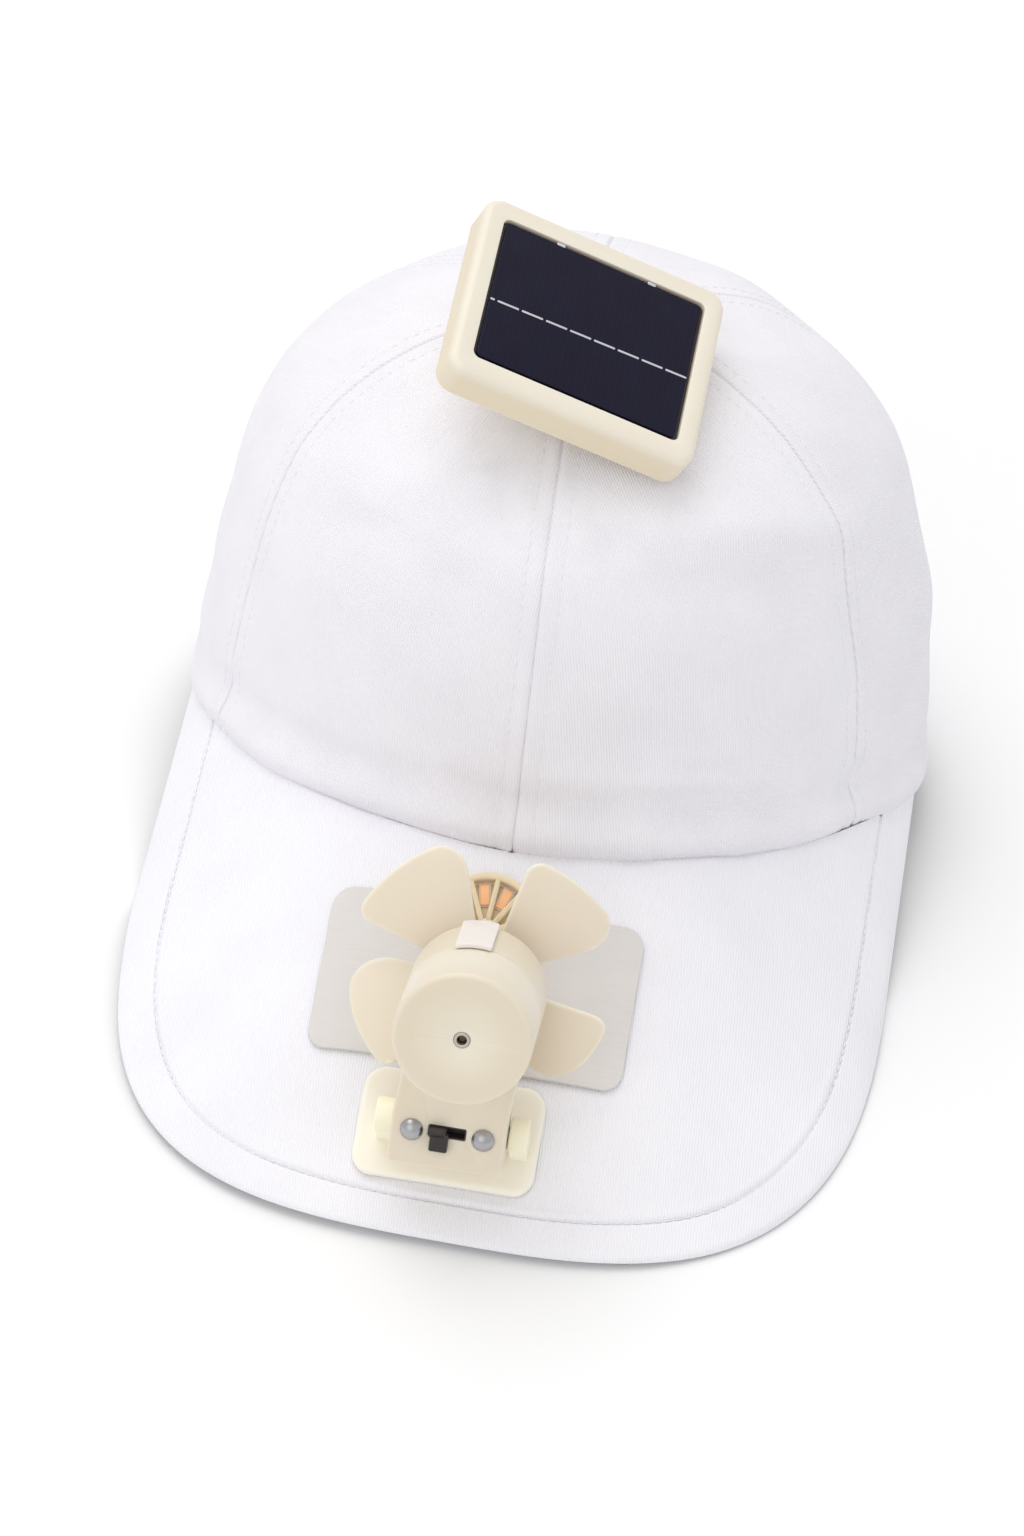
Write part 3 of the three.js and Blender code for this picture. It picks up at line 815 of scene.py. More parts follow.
class Recipe:
    """A node material in the making."""

    def __init__(self, name: str) -> None:
        """Starts a material with one principled shader.

        Args:
            name: the material's name.
        """
        self.material = bpy.data.materials.new(name)
        self.material.use_nodes = True
        self.tree = self.material.node_tree
        self.shader = self.tree.nodes["Principled BSDF"]

    def node(self, kind: str, **values: object) -> bpy.types.Node:
        """Adds a node.

        Args:
            kind: the node's type.
            values: sockets, for names with a capital, and settings of the node, for others.

        Returns:
            The node.
        """
        made = self.tree.nodes.new(kind)
        for key, value in values.items():
            if key[0].isupper():
                made.inputs[key.replace("_", " ")].default_value = value
            else:
                setattr(made, key, value)
        return made

    def link(self, source: Socket, target: Socket) -> None:
        """Joins an output to an input."""
        self.tree.links.new(source, target)

    def math(self, operation: str, first: Socket, second: Socket | float | None = None) -> Socket:
        """Adds a sum.

        Args:
            operation: the kind of sum.
            first: its first term.
            second: its second term, a socket or a number, where it has one.

        Returns:
            The result.
        """
        made = self.node("ShaderNodeMath", operation=operation)
        for spot, term in enumerate((first, second)):
            if term is None:
                continue
            if isinstance(term, (int, float)):
                made.inputs[spot].default_value = term
            else:
                self.link(term, made.inputs[spot])
        return made.outputs[0]

    def noise(self, where: Socket, scale: float, detail: float = 4, rough: float = 0.55) -> Socket:
        """Adds cloudy noise.

        Args:
            where: the place to read it at.
            scale: how fine it is.
            detail: how many finer layers it has.
            rough: how strong they are.

        Returns:
            The noise, about 0 to 1.
        """
        made = self.node("ShaderNodeTexNoise", Scale=scale, Detail=detail, Roughness=rough)
        self.link(where, made.inputs["Vector"])
        return made.outputs["Fac"]

    def stretched(self, where: Socket, scale: tuple[float, float, float]) -> Socket:
        """Scales a place along its three axes.

        Args:
            where: the place.
            scale: the three scales.

        Returns:
            The scaled place.
        """
        made = self.node("ShaderNodeMapping")
        made.inputs["Scale"].default_value = scale
        self.link(where, made.inputs["Vector"])
        return made.outputs["Vector"]

    def place(self) -> Socket:
        """Place on the piece, which rides with it."""
        return self.node("ShaderNodeTexCoord").outputs["Object"]

    def weave(self) -> Socket:
        """Place on the cloth or the face, in millimetres."""
        return self.node("ShaderNodeAttribute", attribute_name="weave").outputs["Vector"]

    def split(self, where: Socket) -> tuple[Socket, Socket, Socket]:
        """Takes a place apart.

        Args:
            where: the place.

        Returns:
            Its x, y and z.
        """
        parts = self.node("ShaderNodeSeparateXYZ")
        self.link(where, parts.inputs[0])
        return tuple(parts.outputs)

    def span(self, value: Socket, low: float, high: float, start: float = 0, end: float = 1) -> Socket:
        """Carries one range onto another and holds the value inside it.

        Args:
            value: the value to carry.
            low: what the start becomes.
            high: what the end becomes.
            start: start of the value's range.
            end: end of the value's range.

        Returns:
            The carried value.
        """
        made = self.node("ShaderNodeMapRange")
        for label, number in (("From Min", start), ("From Max", end), ("To Min", low), ("To Max", high)):
            made.inputs[label].default_value = number
        self.link(value, made.inputs["Value"])
        return made.outputs["Result"]

    def blend(self, share: Socket, first: Colour | Socket, second: Colour) -> Socket:
        """Mixes two colours.

        Args:
            share: 0 for the first to 1 for the second.
            first: the first colour, fixed or made by other nodes.
            second: the second colour.

        Returns:
            The mixed colour.
        """
        made = self.node("ShaderNodeMix", data_type="RGBA")
        colours = [spot for spot in made.inputs if spot.type == "RGBA"]
        for spot, colour in zip(colours, (first, second)):
            if isinstance(colour, tuple):
                spot.default_value = colour
            else:
                self.link(colour, spot)
        self.link(share, made.inputs[0])
        return next(spot for spot in made.outputs if spot.type == "RGBA")

    def relief(self, height: Socket, strength: float, distance: float) -> None:
        """Bumps the shader's normal.

        Args:
            height: the height at each place.
            strength: how strongly it shows.
            distance: how high it is, in millimetres.
        """
        made = self.node("ShaderNodeBump", Strength=strength, Distance=distance * MM)
        self.link(height, made.inputs["Height"])
        self.link(made.outputs["Normal"], self.shader.inputs["Normal"])

    def set(self, **values: float) -> None:
        """Sets the shader's own sockets."""
        for key, value in values.items():
            self.shader.inputs[key.replace("_", " ")].default_value = value


@dataclass(frozen=True)
class Twill:
    """Brushed cotton twill with fine ribs along the cloth's length."""

    light: Colour = tint(249, 247, 251)
    shade: Colour = tint(232, 230, 237)
    rib: float = 0.62
    slant: float = 0.36
    height: float = 0.15
    fuzz: float = 0.7
    cloud: float = 0.8

    def make(self, name: str) -> bpy.types.Material:
        """Makes the material.

        Args:
            name: the material's name.

        Returns:
            The material, whose ribs follow the weave coordinates.
        """
        r = Recipe(name)
        cloth = r.weave()
        x, y, _ = r.split(cloth)
        wander = r.math("MULTIPLY", r.noise(cloth, 0.35, 2), 2.6)
        turn = 2 * math.pi / self.rib
        phase = r.math("ADD", r.math("MULTIPLY", x, turn), wander)
        rib = r.math("SINE", r.math("ADD", phase, r.math("MULTIPLY", y, turn * self.slant * 0.12)))
        twist = r.math("ADD", r.math("MULTIPLY", y, turn * 1.25), r.math("MULTIPLY", x, turn * self.slant))
        pick = r.math("SINE", twist)
        fuzz = r.noise(cloth, 2.4, 3)
        cords = r.math("ADD", r.math("MULTIPLY", rib, 0.5), r.math("MULTIPLY", pick, 0.22))
        height = r.math("ADD", cords, r.math("MULTIPLY", fuzz, self.fuzz))
        r.relief(height, 0.6, self.height)
        cloud = r.noise(cloth, 0.045, 3)
        # Colour: darker in the hollows between ribs, which is painted shade, plus a random cloud of tone.
        share = r.math("ADD", r.math("MULTIPLY", height, 0.4), r.math("MULTIPLY", cloud, self.cloud))
        r.link(r.blend(r.span(share, 0, 1), self.shade, self.light), r.shader.inputs["Base Color"])
        r.link(r.span(fuzz, 0.82, 0.97), r.shader.inputs["Roughness"])
        r.set(Sheen_Weight=0.25, Sheen_Roughness=0.5, Specular_IOR_Level=0.2)
        return r.material


@dataclass(frozen=True)
class Thread:
    """Polyester sewing thread with a visible twist."""

    light: Colour = tint(246, 246, 250)
    shade: Colour = tint(226, 227, 234)

    def make(self, name: str) -> bpy.types.Material:
        """Makes the material.

        Args:
            name: the material's name.

        Returns:
            The material of the stitches.
        """
        r = Recipe(name)
        twist = r.noise(r.stretched(r.place(), (900, 900, 2600)), 1.0, 2)
        r.relief(twist, 0.4, 0.05)
        r.link(r.blend(twist, self.shade, self.light), r.shader.inputs["Base Color"])
        r.link(r.span(twist, 0.55, 0.75), r.shader.inputs["Roughness"])
        r.set(Sheen_Weight=0.2)
        return r.material


@dataclass(frozen=True)
class Moulded:
    """Moulded plastic with a fine grain, a faint mottle and paler edges, partly wear and partly a painted
    highlight.
    """

    body: Colour
    deep: Colour
    edge_wear_and_highlight: Colour
    rough: float = 0.42
    grain: float = 0.03
    depth: float = 0.08
    coat: float = 0.0
    edge_wear_and_highlight_share: float = 0.55
    # Darker colour of the side walls below the face: painted shade.
    wall: Colour | None = None
    wall_shade_top: float = -0.5
    wall_shade_full: float = -3.0

    def make(self, name: str) -> bpy.types.Material:
        """Makes the material.

        Args:
            name: the material's name.

        Returns:
            The material of one moulded finish.
        """
        r = Recipe(name)
        place = r.place()
        cloud = r.noise(place, 45, 4)
        speck = r.noise(place, 2400, 2)
        base = r.blend(r.span(cloud, 0.1, 0.9), self.deep, self.body)
        if self.wall is not None:
            base = self.with_painted_wall_shade(r, base)
        # Paler colour on sharp edges, found from pointiness: partly wear, partly a painted highlight along
        # the rims.
        edge = r.node("ShaderNodeNewGeometry").outputs["Pointiness"]
        rim = r.span(edge, 0, self.edge_wear_and_highlight_share, 0.503, 0.54)
        r.link(r.blend(rim, base, self.edge_wear_and_highlight), r.shader.inputs["Base Color"])
        smear = r.noise(r.stretched(place, (60, 60, 160)), 1.0, 5)
        r.link(r.span(smear, self.rough - 0.08, self.rough + 0.1), r.shader.inputs["Roughness"])
        r.relief(speck, 0.35, self.grain)
        r.set(Subsurface_Weight=self.depth, Subsurface_Scale=0.004, IOR=1.5)
        r.set(Coat_Weight=self.coat, Coat_Roughness=0.4)
        return r.material

    def with_painted_wall_shade(self, r: Recipe, base: Socket) -> Socket:
        """Paints shade down the side walls, below the face at z = 0, by mixing in the darker wall colour.

        Args:
            r: the recipe.
            base: colour of the face.

        Returns:
            The colour with the painted wall shade in it.
        """
        high = r.split(r.weave())[2]
        return r.blend(r.span(high, 0, 1, self.wall_shade_top, self.wall_shade_full), base, self.wall)


@dataclass(frozen=True)
class Metal:
    """Metal with drawn or turned marks along one axis."""

    body: Colour
    dull: Colour
    rough: float = 0.28
    marks: tuple[float, float, float] = (300, 300, 300)
    metallic: float = 1.0

    def make(self, name: str) -> bpy.types.Material:
        """Makes the material.

        Args:
            name: the material's name.

        Returns:
            The material of one metal finish.
        """
        r = Recipe(name)
        place = r.place()
        lines = r.noise(r.stretched(place, self.marks), 1.0, 5)
        cloud = r.noise(place, 60, 3)
        share = r.math("ADD", r.math("MULTIPLY", cloud, 0.5), r.math("MULTIPLY", lines, 0.5))
        r.link(r.blend(share, self.dull, self.body), r.shader.inputs["Base Color"])
        r.link(r.span(lines, self.rough - 0.08, self.rough + 0.16), r.shader.inputs["Roughness"])
        r.relief(lines, 0.25, 0.02)
        r.set(Metallic=self.metallic)
        return r.material


@dataclass(frozen=True)
class CellGlass:
    """Dark silicon under clear resin, with fine fingers along its length."""

    deep: Colour = tint(4, 2, 20)
    blue: Colour = tint(24, 20, 52)
    finger: float = 1.3

    def make(self, name: str) -> bpy.types.Material:
        """Makes the material.

        Args:
            name: the material's name.

        Returns:
            The material of the light cell.
        """
        r = Recipe(name)
        cloth = r.weave()
        finger = r.math("SINE", r.math("MULTIPLY", r.split(cloth)[0], 2 * math.pi / self.finger))
        line = r.math("MULTIPLY", r.math("GREATER_THAN", finger, 0.93), 0.4)
        cloud = r.noise(cloth, 0.12, 4)
        share = r.math("ADD", line, r.math("MULTIPLY", cloud, 0.6))
        r.link(r.blend(share, self.deep, self.blue), r.shader.inputs["Base Color"])
        r.link(r.span(cloud, 0.26, 0.42), r.shader.inputs["Roughness"])
        r.relief(r.noise(cloth, 0.5, 3), 0.1, 0.05)
        r.set(Coat_Weight=0.08, Coat_Roughness=0.1, Specular_IOR_Level=0.18)
        return r.material


@dataclass(frozen=True)
class PaleFloor:
    """Matt white studio floor."""

    light: Colour = (0.93, 0.93, 0.935, 1)
    shade: Colour = (0.915, 0.915, 0.92, 1)

    def make(self, name: str) -> bpy.types.Material:
        """Makes the material.

        Args:
            name: the material's name.

        Returns:
            The material of the floor.
        """
        r = Recipe(name)
        cloud = r.noise(r.place(), 3, 2)
        r.link(r.blend(cloud, self.shade, self.light), r.shader.inputs["Base Color"])
        r.set(Roughness=0.9, Specular_IOR_Level=0.1)
        return r.material


@dataclass
class Finishes:
    """Every finish of the cap, made once."""

    cloth: Twill = Twill()
    # The brim's cloth is the same twill as the crown's, made a little lighter: painted light, as the brim is
    # lit more than the crown's front.
    brim_cloth: Twill = Twill(light=tint(249, 248, 252), shade=tint(236, 235, 241))
    thread: Thread = Thread()
    cream: Moulded = Moulded(tint(224, 213, 190), tint(217, 204, 179), tint(243, 236, 223), coat=0.3)
    blade: Moulded = Moulded(tint(235, 226, 208), tint(229, 218, 198), tint(249, 244, 232), depth=0.2)
    foot: Moulded = Moulded(tint(250, 243, 228), tint(245, 237, 219), tint(254, 251, 241))
    # The lugs are the same plastic as the foot; their yellower, more saturated tint is painted shade.
    lug: Moulded = Moulded(tint(251, 245, 216), tint(247, 239, 206), tint(254, 251, 234))
    # The frame's side walls take a darker, warmer wall colour: painted shade.
    frame: Moulded = Moulded(
        tint(228, 220, 203), tint(222, 212, 192), tint(240, 235, 223), wall=tint(221, 205, 173)
    )
    pale: Moulded = Moulded(tint(240, 233, 228), tint(233, 224, 217), tint(248, 244, 240), rough=0.5)
    amber: Moulded = Moulded(tint(222, 194, 146), tint(206, 172, 120), tint(236, 214, 176), rough=0.5)
    rim: Moulded = Moulded(tint(234, 216, 180), tint(226, 204, 164), tint(244, 232, 206), rough=0.45)
    black: Moulded = Moulded(tint(34, 26, 24), tint(24, 18, 17), tint(70, 62, 58), rough=0.42, depth=0.0)
    steel: Metal = Metal(tint(188, 188, 191), tint(160, 160, 164), rough=0.27)
    # Dark brown of the shaft's end in the face's hole: its darkness is painted shade in the hole.
    shaft_dark_shade: Metal = Metal(tint(120, 96, 74), tint(90, 70, 52), rough=0.4)
    silver: Metal = Metal(tint(232, 232, 238), tint(205, 205, 214), rough=0.3)
    bush: Metal = Metal(tint(204, 198, 188), tint(184, 177, 167), rough=0.45)
    copper: Metal = Metal(tint(240, 190, 142), tint(226, 164, 110), rough=0.4, metallic=0.3)
    plate: Metal = Metal(
        tint(226, 222, 219), tint(204, 200, 196), rough=0.5, marks=(90, 2600, 900), metallic=0.0
    )
    cell: CellGlass = CellGlass()
    made: dict[str, bpy.types.Material] = field(default_factory=dict)

    def get(self, name: str) -> bpy.types.Material:
        """Makes a finish's material, or finds it if it is made.

        Args:
            name: the finish's name.

        Returns:
            The material.
        """
        if name not in self.made:
            self.made[name] = getattr(self, name).make(name)
        return self.made[name]


@dataclass
class Workroom:
    """Sets pieces in the shared frame, dresses them and reports them."""

    seats: Seats
    finishes: Finishes
    nodes: dict[str, Piece]

    def set_in(self, piece: Piece, seat: Seat, finish: str, slot: Slot, *replaced: str) -> None:
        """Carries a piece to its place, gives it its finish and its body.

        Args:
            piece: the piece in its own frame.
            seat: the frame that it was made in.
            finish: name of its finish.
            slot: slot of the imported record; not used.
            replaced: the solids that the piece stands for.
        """
        piece.data.transform(seat.matrix)
        piece.data.materials.clear()
        piece.data.materials.append(self.finishes.get(finish))
        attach(piece, seat.body)
        if replaced:
            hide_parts(*replaced)
        LOG.info("%s: %d faces, rides on %s", piece.name, len(piece.data.polygons), seat.body)

    def keep(self, node: str, finish: str) -> None:
        """Gives a solid that stays its finish.

        Args:
            node: the solid's name.
            finish: name of its finish.
        """
        held = self.nodes[node]
        held.data.materials.clear()
        held.data.materials.append(self.finishes.get(finish))
        LOG.info("%s: solid kept", node)


# The cap's cloth


@dataclass
class Crown:
    """Six gores sewn together, with a row of stitches on each side of every seam and a soft hem."""

    room: Workroom
    seams: tuple[float, ...] = (0, 57.8, 120, 180, 240, 302.2)
    gores: tuple[str, ...] = (
        "front_left", "side_left", "back_left", "back_right", "side_right", "front_right",
    )
    stitch_off: float = 3.9
    pitch: float = 2.7
    stitch: float = 1.9
    thread: float = 0.18
    seam_groove: Swell = Swell(-0.85, 0, 0.3)
    seam_ridge: Swell = Swell(0.16, 1.5, 0.9)
    stitch_groove: Swell = Swell(-0.16, 3.9, 0.4)
    front_ease: Swell = Swell(0.4, 0, 8)
    gore_rise: float = 0.6
    gore_reach: float = 14.0
    hem_start: float = 1.0
    hem_flare: Swell = Swell(1.6, 3.4, 4.0)
    hem_hollow: Swell = Swell(1.0, 12.5, 4.4)
    hollow_even: float = 1.25
    hollow_more: float = 0.6
    hollow_turn: float = 15.0
    back_hem: Swell = Swell(0.25, 8, 6)
    back_stitch: Swell = Swell(-0.35, 16, 0.7)
    puckers: Swell = Swell(2.2, 30, 20)
    pucker_height: Swell = Swell(1.0, 8, 7)
    roll_up: float = 4.0
    dents: tuple[tuple[float, float, float, float, float], ...] = (
        (28, 16, 9, 2.6, -0.7), (31, 23, 10, 2.4, -0.55), (22, 20, 8, 2.2, 0.4), (38, 14, 8, 3.0, -0.8),
        (44, 22, 9, 3.5, -0.7), (36, 30, 12, 4.0, -0.5), (50, 12, 7, 3.2, 0.6), (14, 14, 8, 2.4, -0.4),
        (-12, 15, 10, 2.6, -0.35), (-30, 13, 10, 3.0, -0.4), (-48, 14, 9, 3.0, -0.4), (-22, 60, 14, 9, 0.5),
        (25, 70, 12, 10, -0.6), (40, 84, 8, 7, 0.7), (62, 60, 9, 10, -0.8), (75, 34, 10, 8, -0.8),
        (90, 52, 10, 10, 0.8), (110, 40, 12, 9, -0.8), (140, 60, 12, 12, 0.8), (165, 35, 10, 9, -0.7),
        (195, 50, 12, 12, 0.8), (225, 38, 12, 9, -0.8), (250, 60, 10, 12, 0.7), (275, 34, 10, 8, -0.7),
        (298, 62, 9, 12, -0.5), (38, 81, 20, 6, 1.8), (40, 69, 18, 6, -1.1), (-34, 70, 9, 5, -0.8),
        (-27, 83, 8, 5, 0.8), (-19, 62, 8, 5, -0.5), (20, 30, 11, 9, -1.2), (8, 20, 5, 4, 0.6),
        (-17, 86, 3, 3, 0.9), (-11, 82, 2.5, 4, -0.8), (-5, 79, 2.5, 4, 0.8), (2, 79, 2.5, 3, -0.6),
        (8, 77, 3, 3, 0.7),
        (14, 76, 3, 4, -0.7), (22, 80, 3, 5, 0.6), (-24, 92, 3, 4, 0.7), (30, 94, 4, 4, -0.7),
    )

    def columns(self, width: float) -> Array:
        """Shares across a gore, close together near both seams.

        Args:
            width: the gore's width at the hem.

        Returns:
            Shares from 0 to 1.
        """
        near = np.array([
            0, 0.12, 0.28, 0.5, 0.8, 1.15, 1.6, 2.1, 2.6, 3.05, 3.4, 3.7, 4.0, 4.35, 4.8, 5.4, 6.2, 7.2,
        ])
        middle = np.linspace(8.4, width - 8.4, int((width - 16.8) / 1.35))
        return np.concatenate([near, middle, width - near[::-1]]) / width

    def climbs(self, angles: Array, shares: Array) -> Array:
        """Climbs that lie evenly along the cloth.

        Args:
            angles: angle of each column, in radians.
            shares: shares of the way up.

        Returns:
            The climb at each share, a row for each share and a column for each angle.
        """
        fine = np.linspace(0, 1, 500) ** 1.6
        made = []
        for angle in angles:
            line = CAP.point(np.full_like(fine, angle), fine)
            run = np.concatenate([[0], np.cumsum(np.linalg.norm(np.diff(line, axis=0), axis=1))])
            made.append(np.interp(shares * run[-1], run, fine))
        return np.array(made).T

    def relief(self, angle: Array, high: Array, seam: Array) -> Array:
        """How far the cloth stands out of the plain form.

        Args:
            angle: angles from the front centre, in degrees.
            high: distance up the cloth from the hem.
            seam: distance from the nearer seam.

        Returns:
            Heights in millimetres.
        """
        turn = (angle + 180) % 360 - 180
        made = (1 - self.front_ease.over(turn)) * self.seam_groove.over(seam)
        made = made + self.seam_ridge.over(seam) + self.stitch_groove.over(seam)
        made = made + self.gore_rise * (0.5 - np.exp(-seam / self.gore_reach))
        front = np.clip(np.cos(np.radians(angle)) * 1.6 + 0.3, 0, 1)
        fade = 1 - np.exp(-high / self.hem_start)
        deep = self.hollow_even + self.hollow_more * np.tanh(turn / self.hollow_turn)
        made = made + fade * front * (self.hem_flare.over(high) - deep * self.hem_hollow.over(high))
        made = made + (1 - front) * (self.back_hem.over(high) + self.back_stitch.over(high))
        for at, up, wide, tall, size in self.dents:
            aside = (angle - at + 180) % 360 - 180
            made = made + size * bump(aside, 0, wide) * bump(high, up, tall)
        made = made + self.pucker(angle, turn, high) * np.clip(seam / 6, 0, 1)
        return made + self.waves(np.radians(angle), high)

    def pucker(self, angle: Array, turn: Array, high: Array) -> Array:
        """Small folds that the hem's stitches pull in, strongest right of the middle.

        Args:
            angle: angles from the front centre, in degrees.
            turn: the same angles between -180 and 180.
            high: distance up the cloth from the hem.

        Returns:
            Heights in millimetres.
        """
        ripple = np.sin(np.radians(angle * 23)) * 0.2 + np.sin(np.radians(angle * 41 + 50)) * 0.11
        return ripple * (1 + self.puckers.over(turn)) * self.pucker_height.over(high)

    def waves(self, angle: Array, high: Array) -> Array:
        """Slow waves of cloth that is not quite taut.

        Args:
            angle: angles from the front centre, in radians.
            high: distance up the cloth from the hem.

        Returns:
            Heights in millimetres.
        """
        slow = np.sin(angle * 5 + high / 21) * np.sin(high / 14 + 1)
        soft = np.sin(angle * 9 + high / 11 + 2) * np.sin(high / 9 - angle * 4)
        return 0.42 * slow + 0.24 * soft * np.clip(high / 15, 0, 1)

    def build(self) -> None:
        """Builds the gores and the stitch rows along their seams."""
        rows = []
        ends = (*self.seams[1:], 360.0)
        for name, low, high in zip(self.gores, self.seams, ends):
            rows += self.gore(name, low, high)
        self.room.set_in(stitches("crown_stitches", rows), self.room.seats.cap(), "thread", Slot.CLOTH)

    def gore(self, name: str, low: float, high: float) -> list[tuple[Array, Array]]:
        """Builds one gore between two seams.

        Args:
            name: the gore's place on the cap.
            low: angle of its first seam, in degrees.
            high: angle of its second seam.

        Returns:
            The stitch rows beside its seams.
        """
        tall = np.concatenate([
            [0, 0.004, 0.009, 0.016, 0.024], np.linspace(0.033, 0.2, 24), np.linspace(0.207, 0.992, 104),
            [0.9985],
        ])
        shares = self.columns(CAP.half_width * math.radians(high - low))
        angles = np.radians(low + 0.02 + (high - low - 0.04) * shares)
        climb = self.climbs(angles, tall)
        angle = np.broadcast_to(angles, climb.shape)
        plain = CAP.point(angle, climb)
        across = np.linalg.norm(np.diff(plain, axis=1), axis=-1)
        left = np.concatenate([np.zeros((len(tall), 1)), np.cumsum(across, 1)], 1)
        seam = np.minimum(left, left[:, -1:] - left)
        rise = np.cumsum(np.linalg.norm(np.diff(plain, axis=0), axis=-1), 0)
        up = np.concatenate([np.zeros((1, len(angles))), rise])
        normal = self.levelled(CAP.normal(angle, climb), up)
        out = self.relief(np.degrees(angle), up, seam)
        rim = round_off(up, CAP.cloth / 2)
        outer = plain + normal * (out - rim)[..., None]
        inner = plain - normal * (CAP.cloth - rim * 0.9 - np.clip(out, -0.4, 0.4) * 0.5)[..., None]
        drop = CAP.brim_cloth * np.sqrt(np.maximum(np.cos(angle), 0)) * np.clip(1 - up / 1.5, 0, 1)
        outer[..., 2] -= drop
        inner[..., 2] -= drop
        weave = np.stack([left - left[:, -1:] / 2, up, np.zeros_like(up)], -1)
        sheets = [sheet.reshape(-1, 3) for sheet in (outer, inner)]
        piece = shell(f"crown_{name}", *sheets, grid_faces(*climb.shape), weave.reshape(-1, 3))
        self.room.set_in(piece, self.room.seats.cap(), "cloth", Slot.CLOTH, f"crown_panel_{name}")
        return self.side_rows(outer, normal, left)

    def levelled(self, normal: Array, up: Array) -> Array:
        """Turns the normals level near the hem.

        Args:
            normal: the crown's normals.
            up: distance up the cloth from the hem.

        Returns:
            Unit normals.
        """
        level = normal.copy()
        level[..., 2] = 0
        level /= np.linalg.norm(level, axis=-1, keepdims=True)
        part = np.clip(1 - up / self.roll_up, 0, 1)[..., None]
        mixed = normal * (1 - part) + level * part
        return mixed / np.linalg.norm(mixed, axis=-1, keepdims=True)

    def side_rows(self, outer: Array, normal: Array, left: Array) -> list[tuple[Array, Array]]:
        """Stitch rows beside the two seams of one gore.

        Args:
            outer: points of the gore's outer sheet.
            normal: its normals.
            left: distance of each point from the gore's left seam.

        Returns:
            Points and quads of the two rows.
        """
        made = []
        for from_end in (False, True):
            distance = left[:, -1:] - left if from_end else left
            path, out = [], []
            for row in range(8, len(outer)):
                order = np.argsort(distance[row])
                if distance[row].max() < 2.6 * self.stitch_off:
                    break
                near = distance[row][order]
                path.append([np.interp(self.stitch_off, near, outer[row][order][:, k]) for k in range(3)])
                out.append([np.interp(self.stitch_off, near, normal[row][order][:, k]) for k in range(3)])
            made.append(stitch_row(np.array(path), np.array(out), self.pitch, self.stitch, self.thread))
        return made


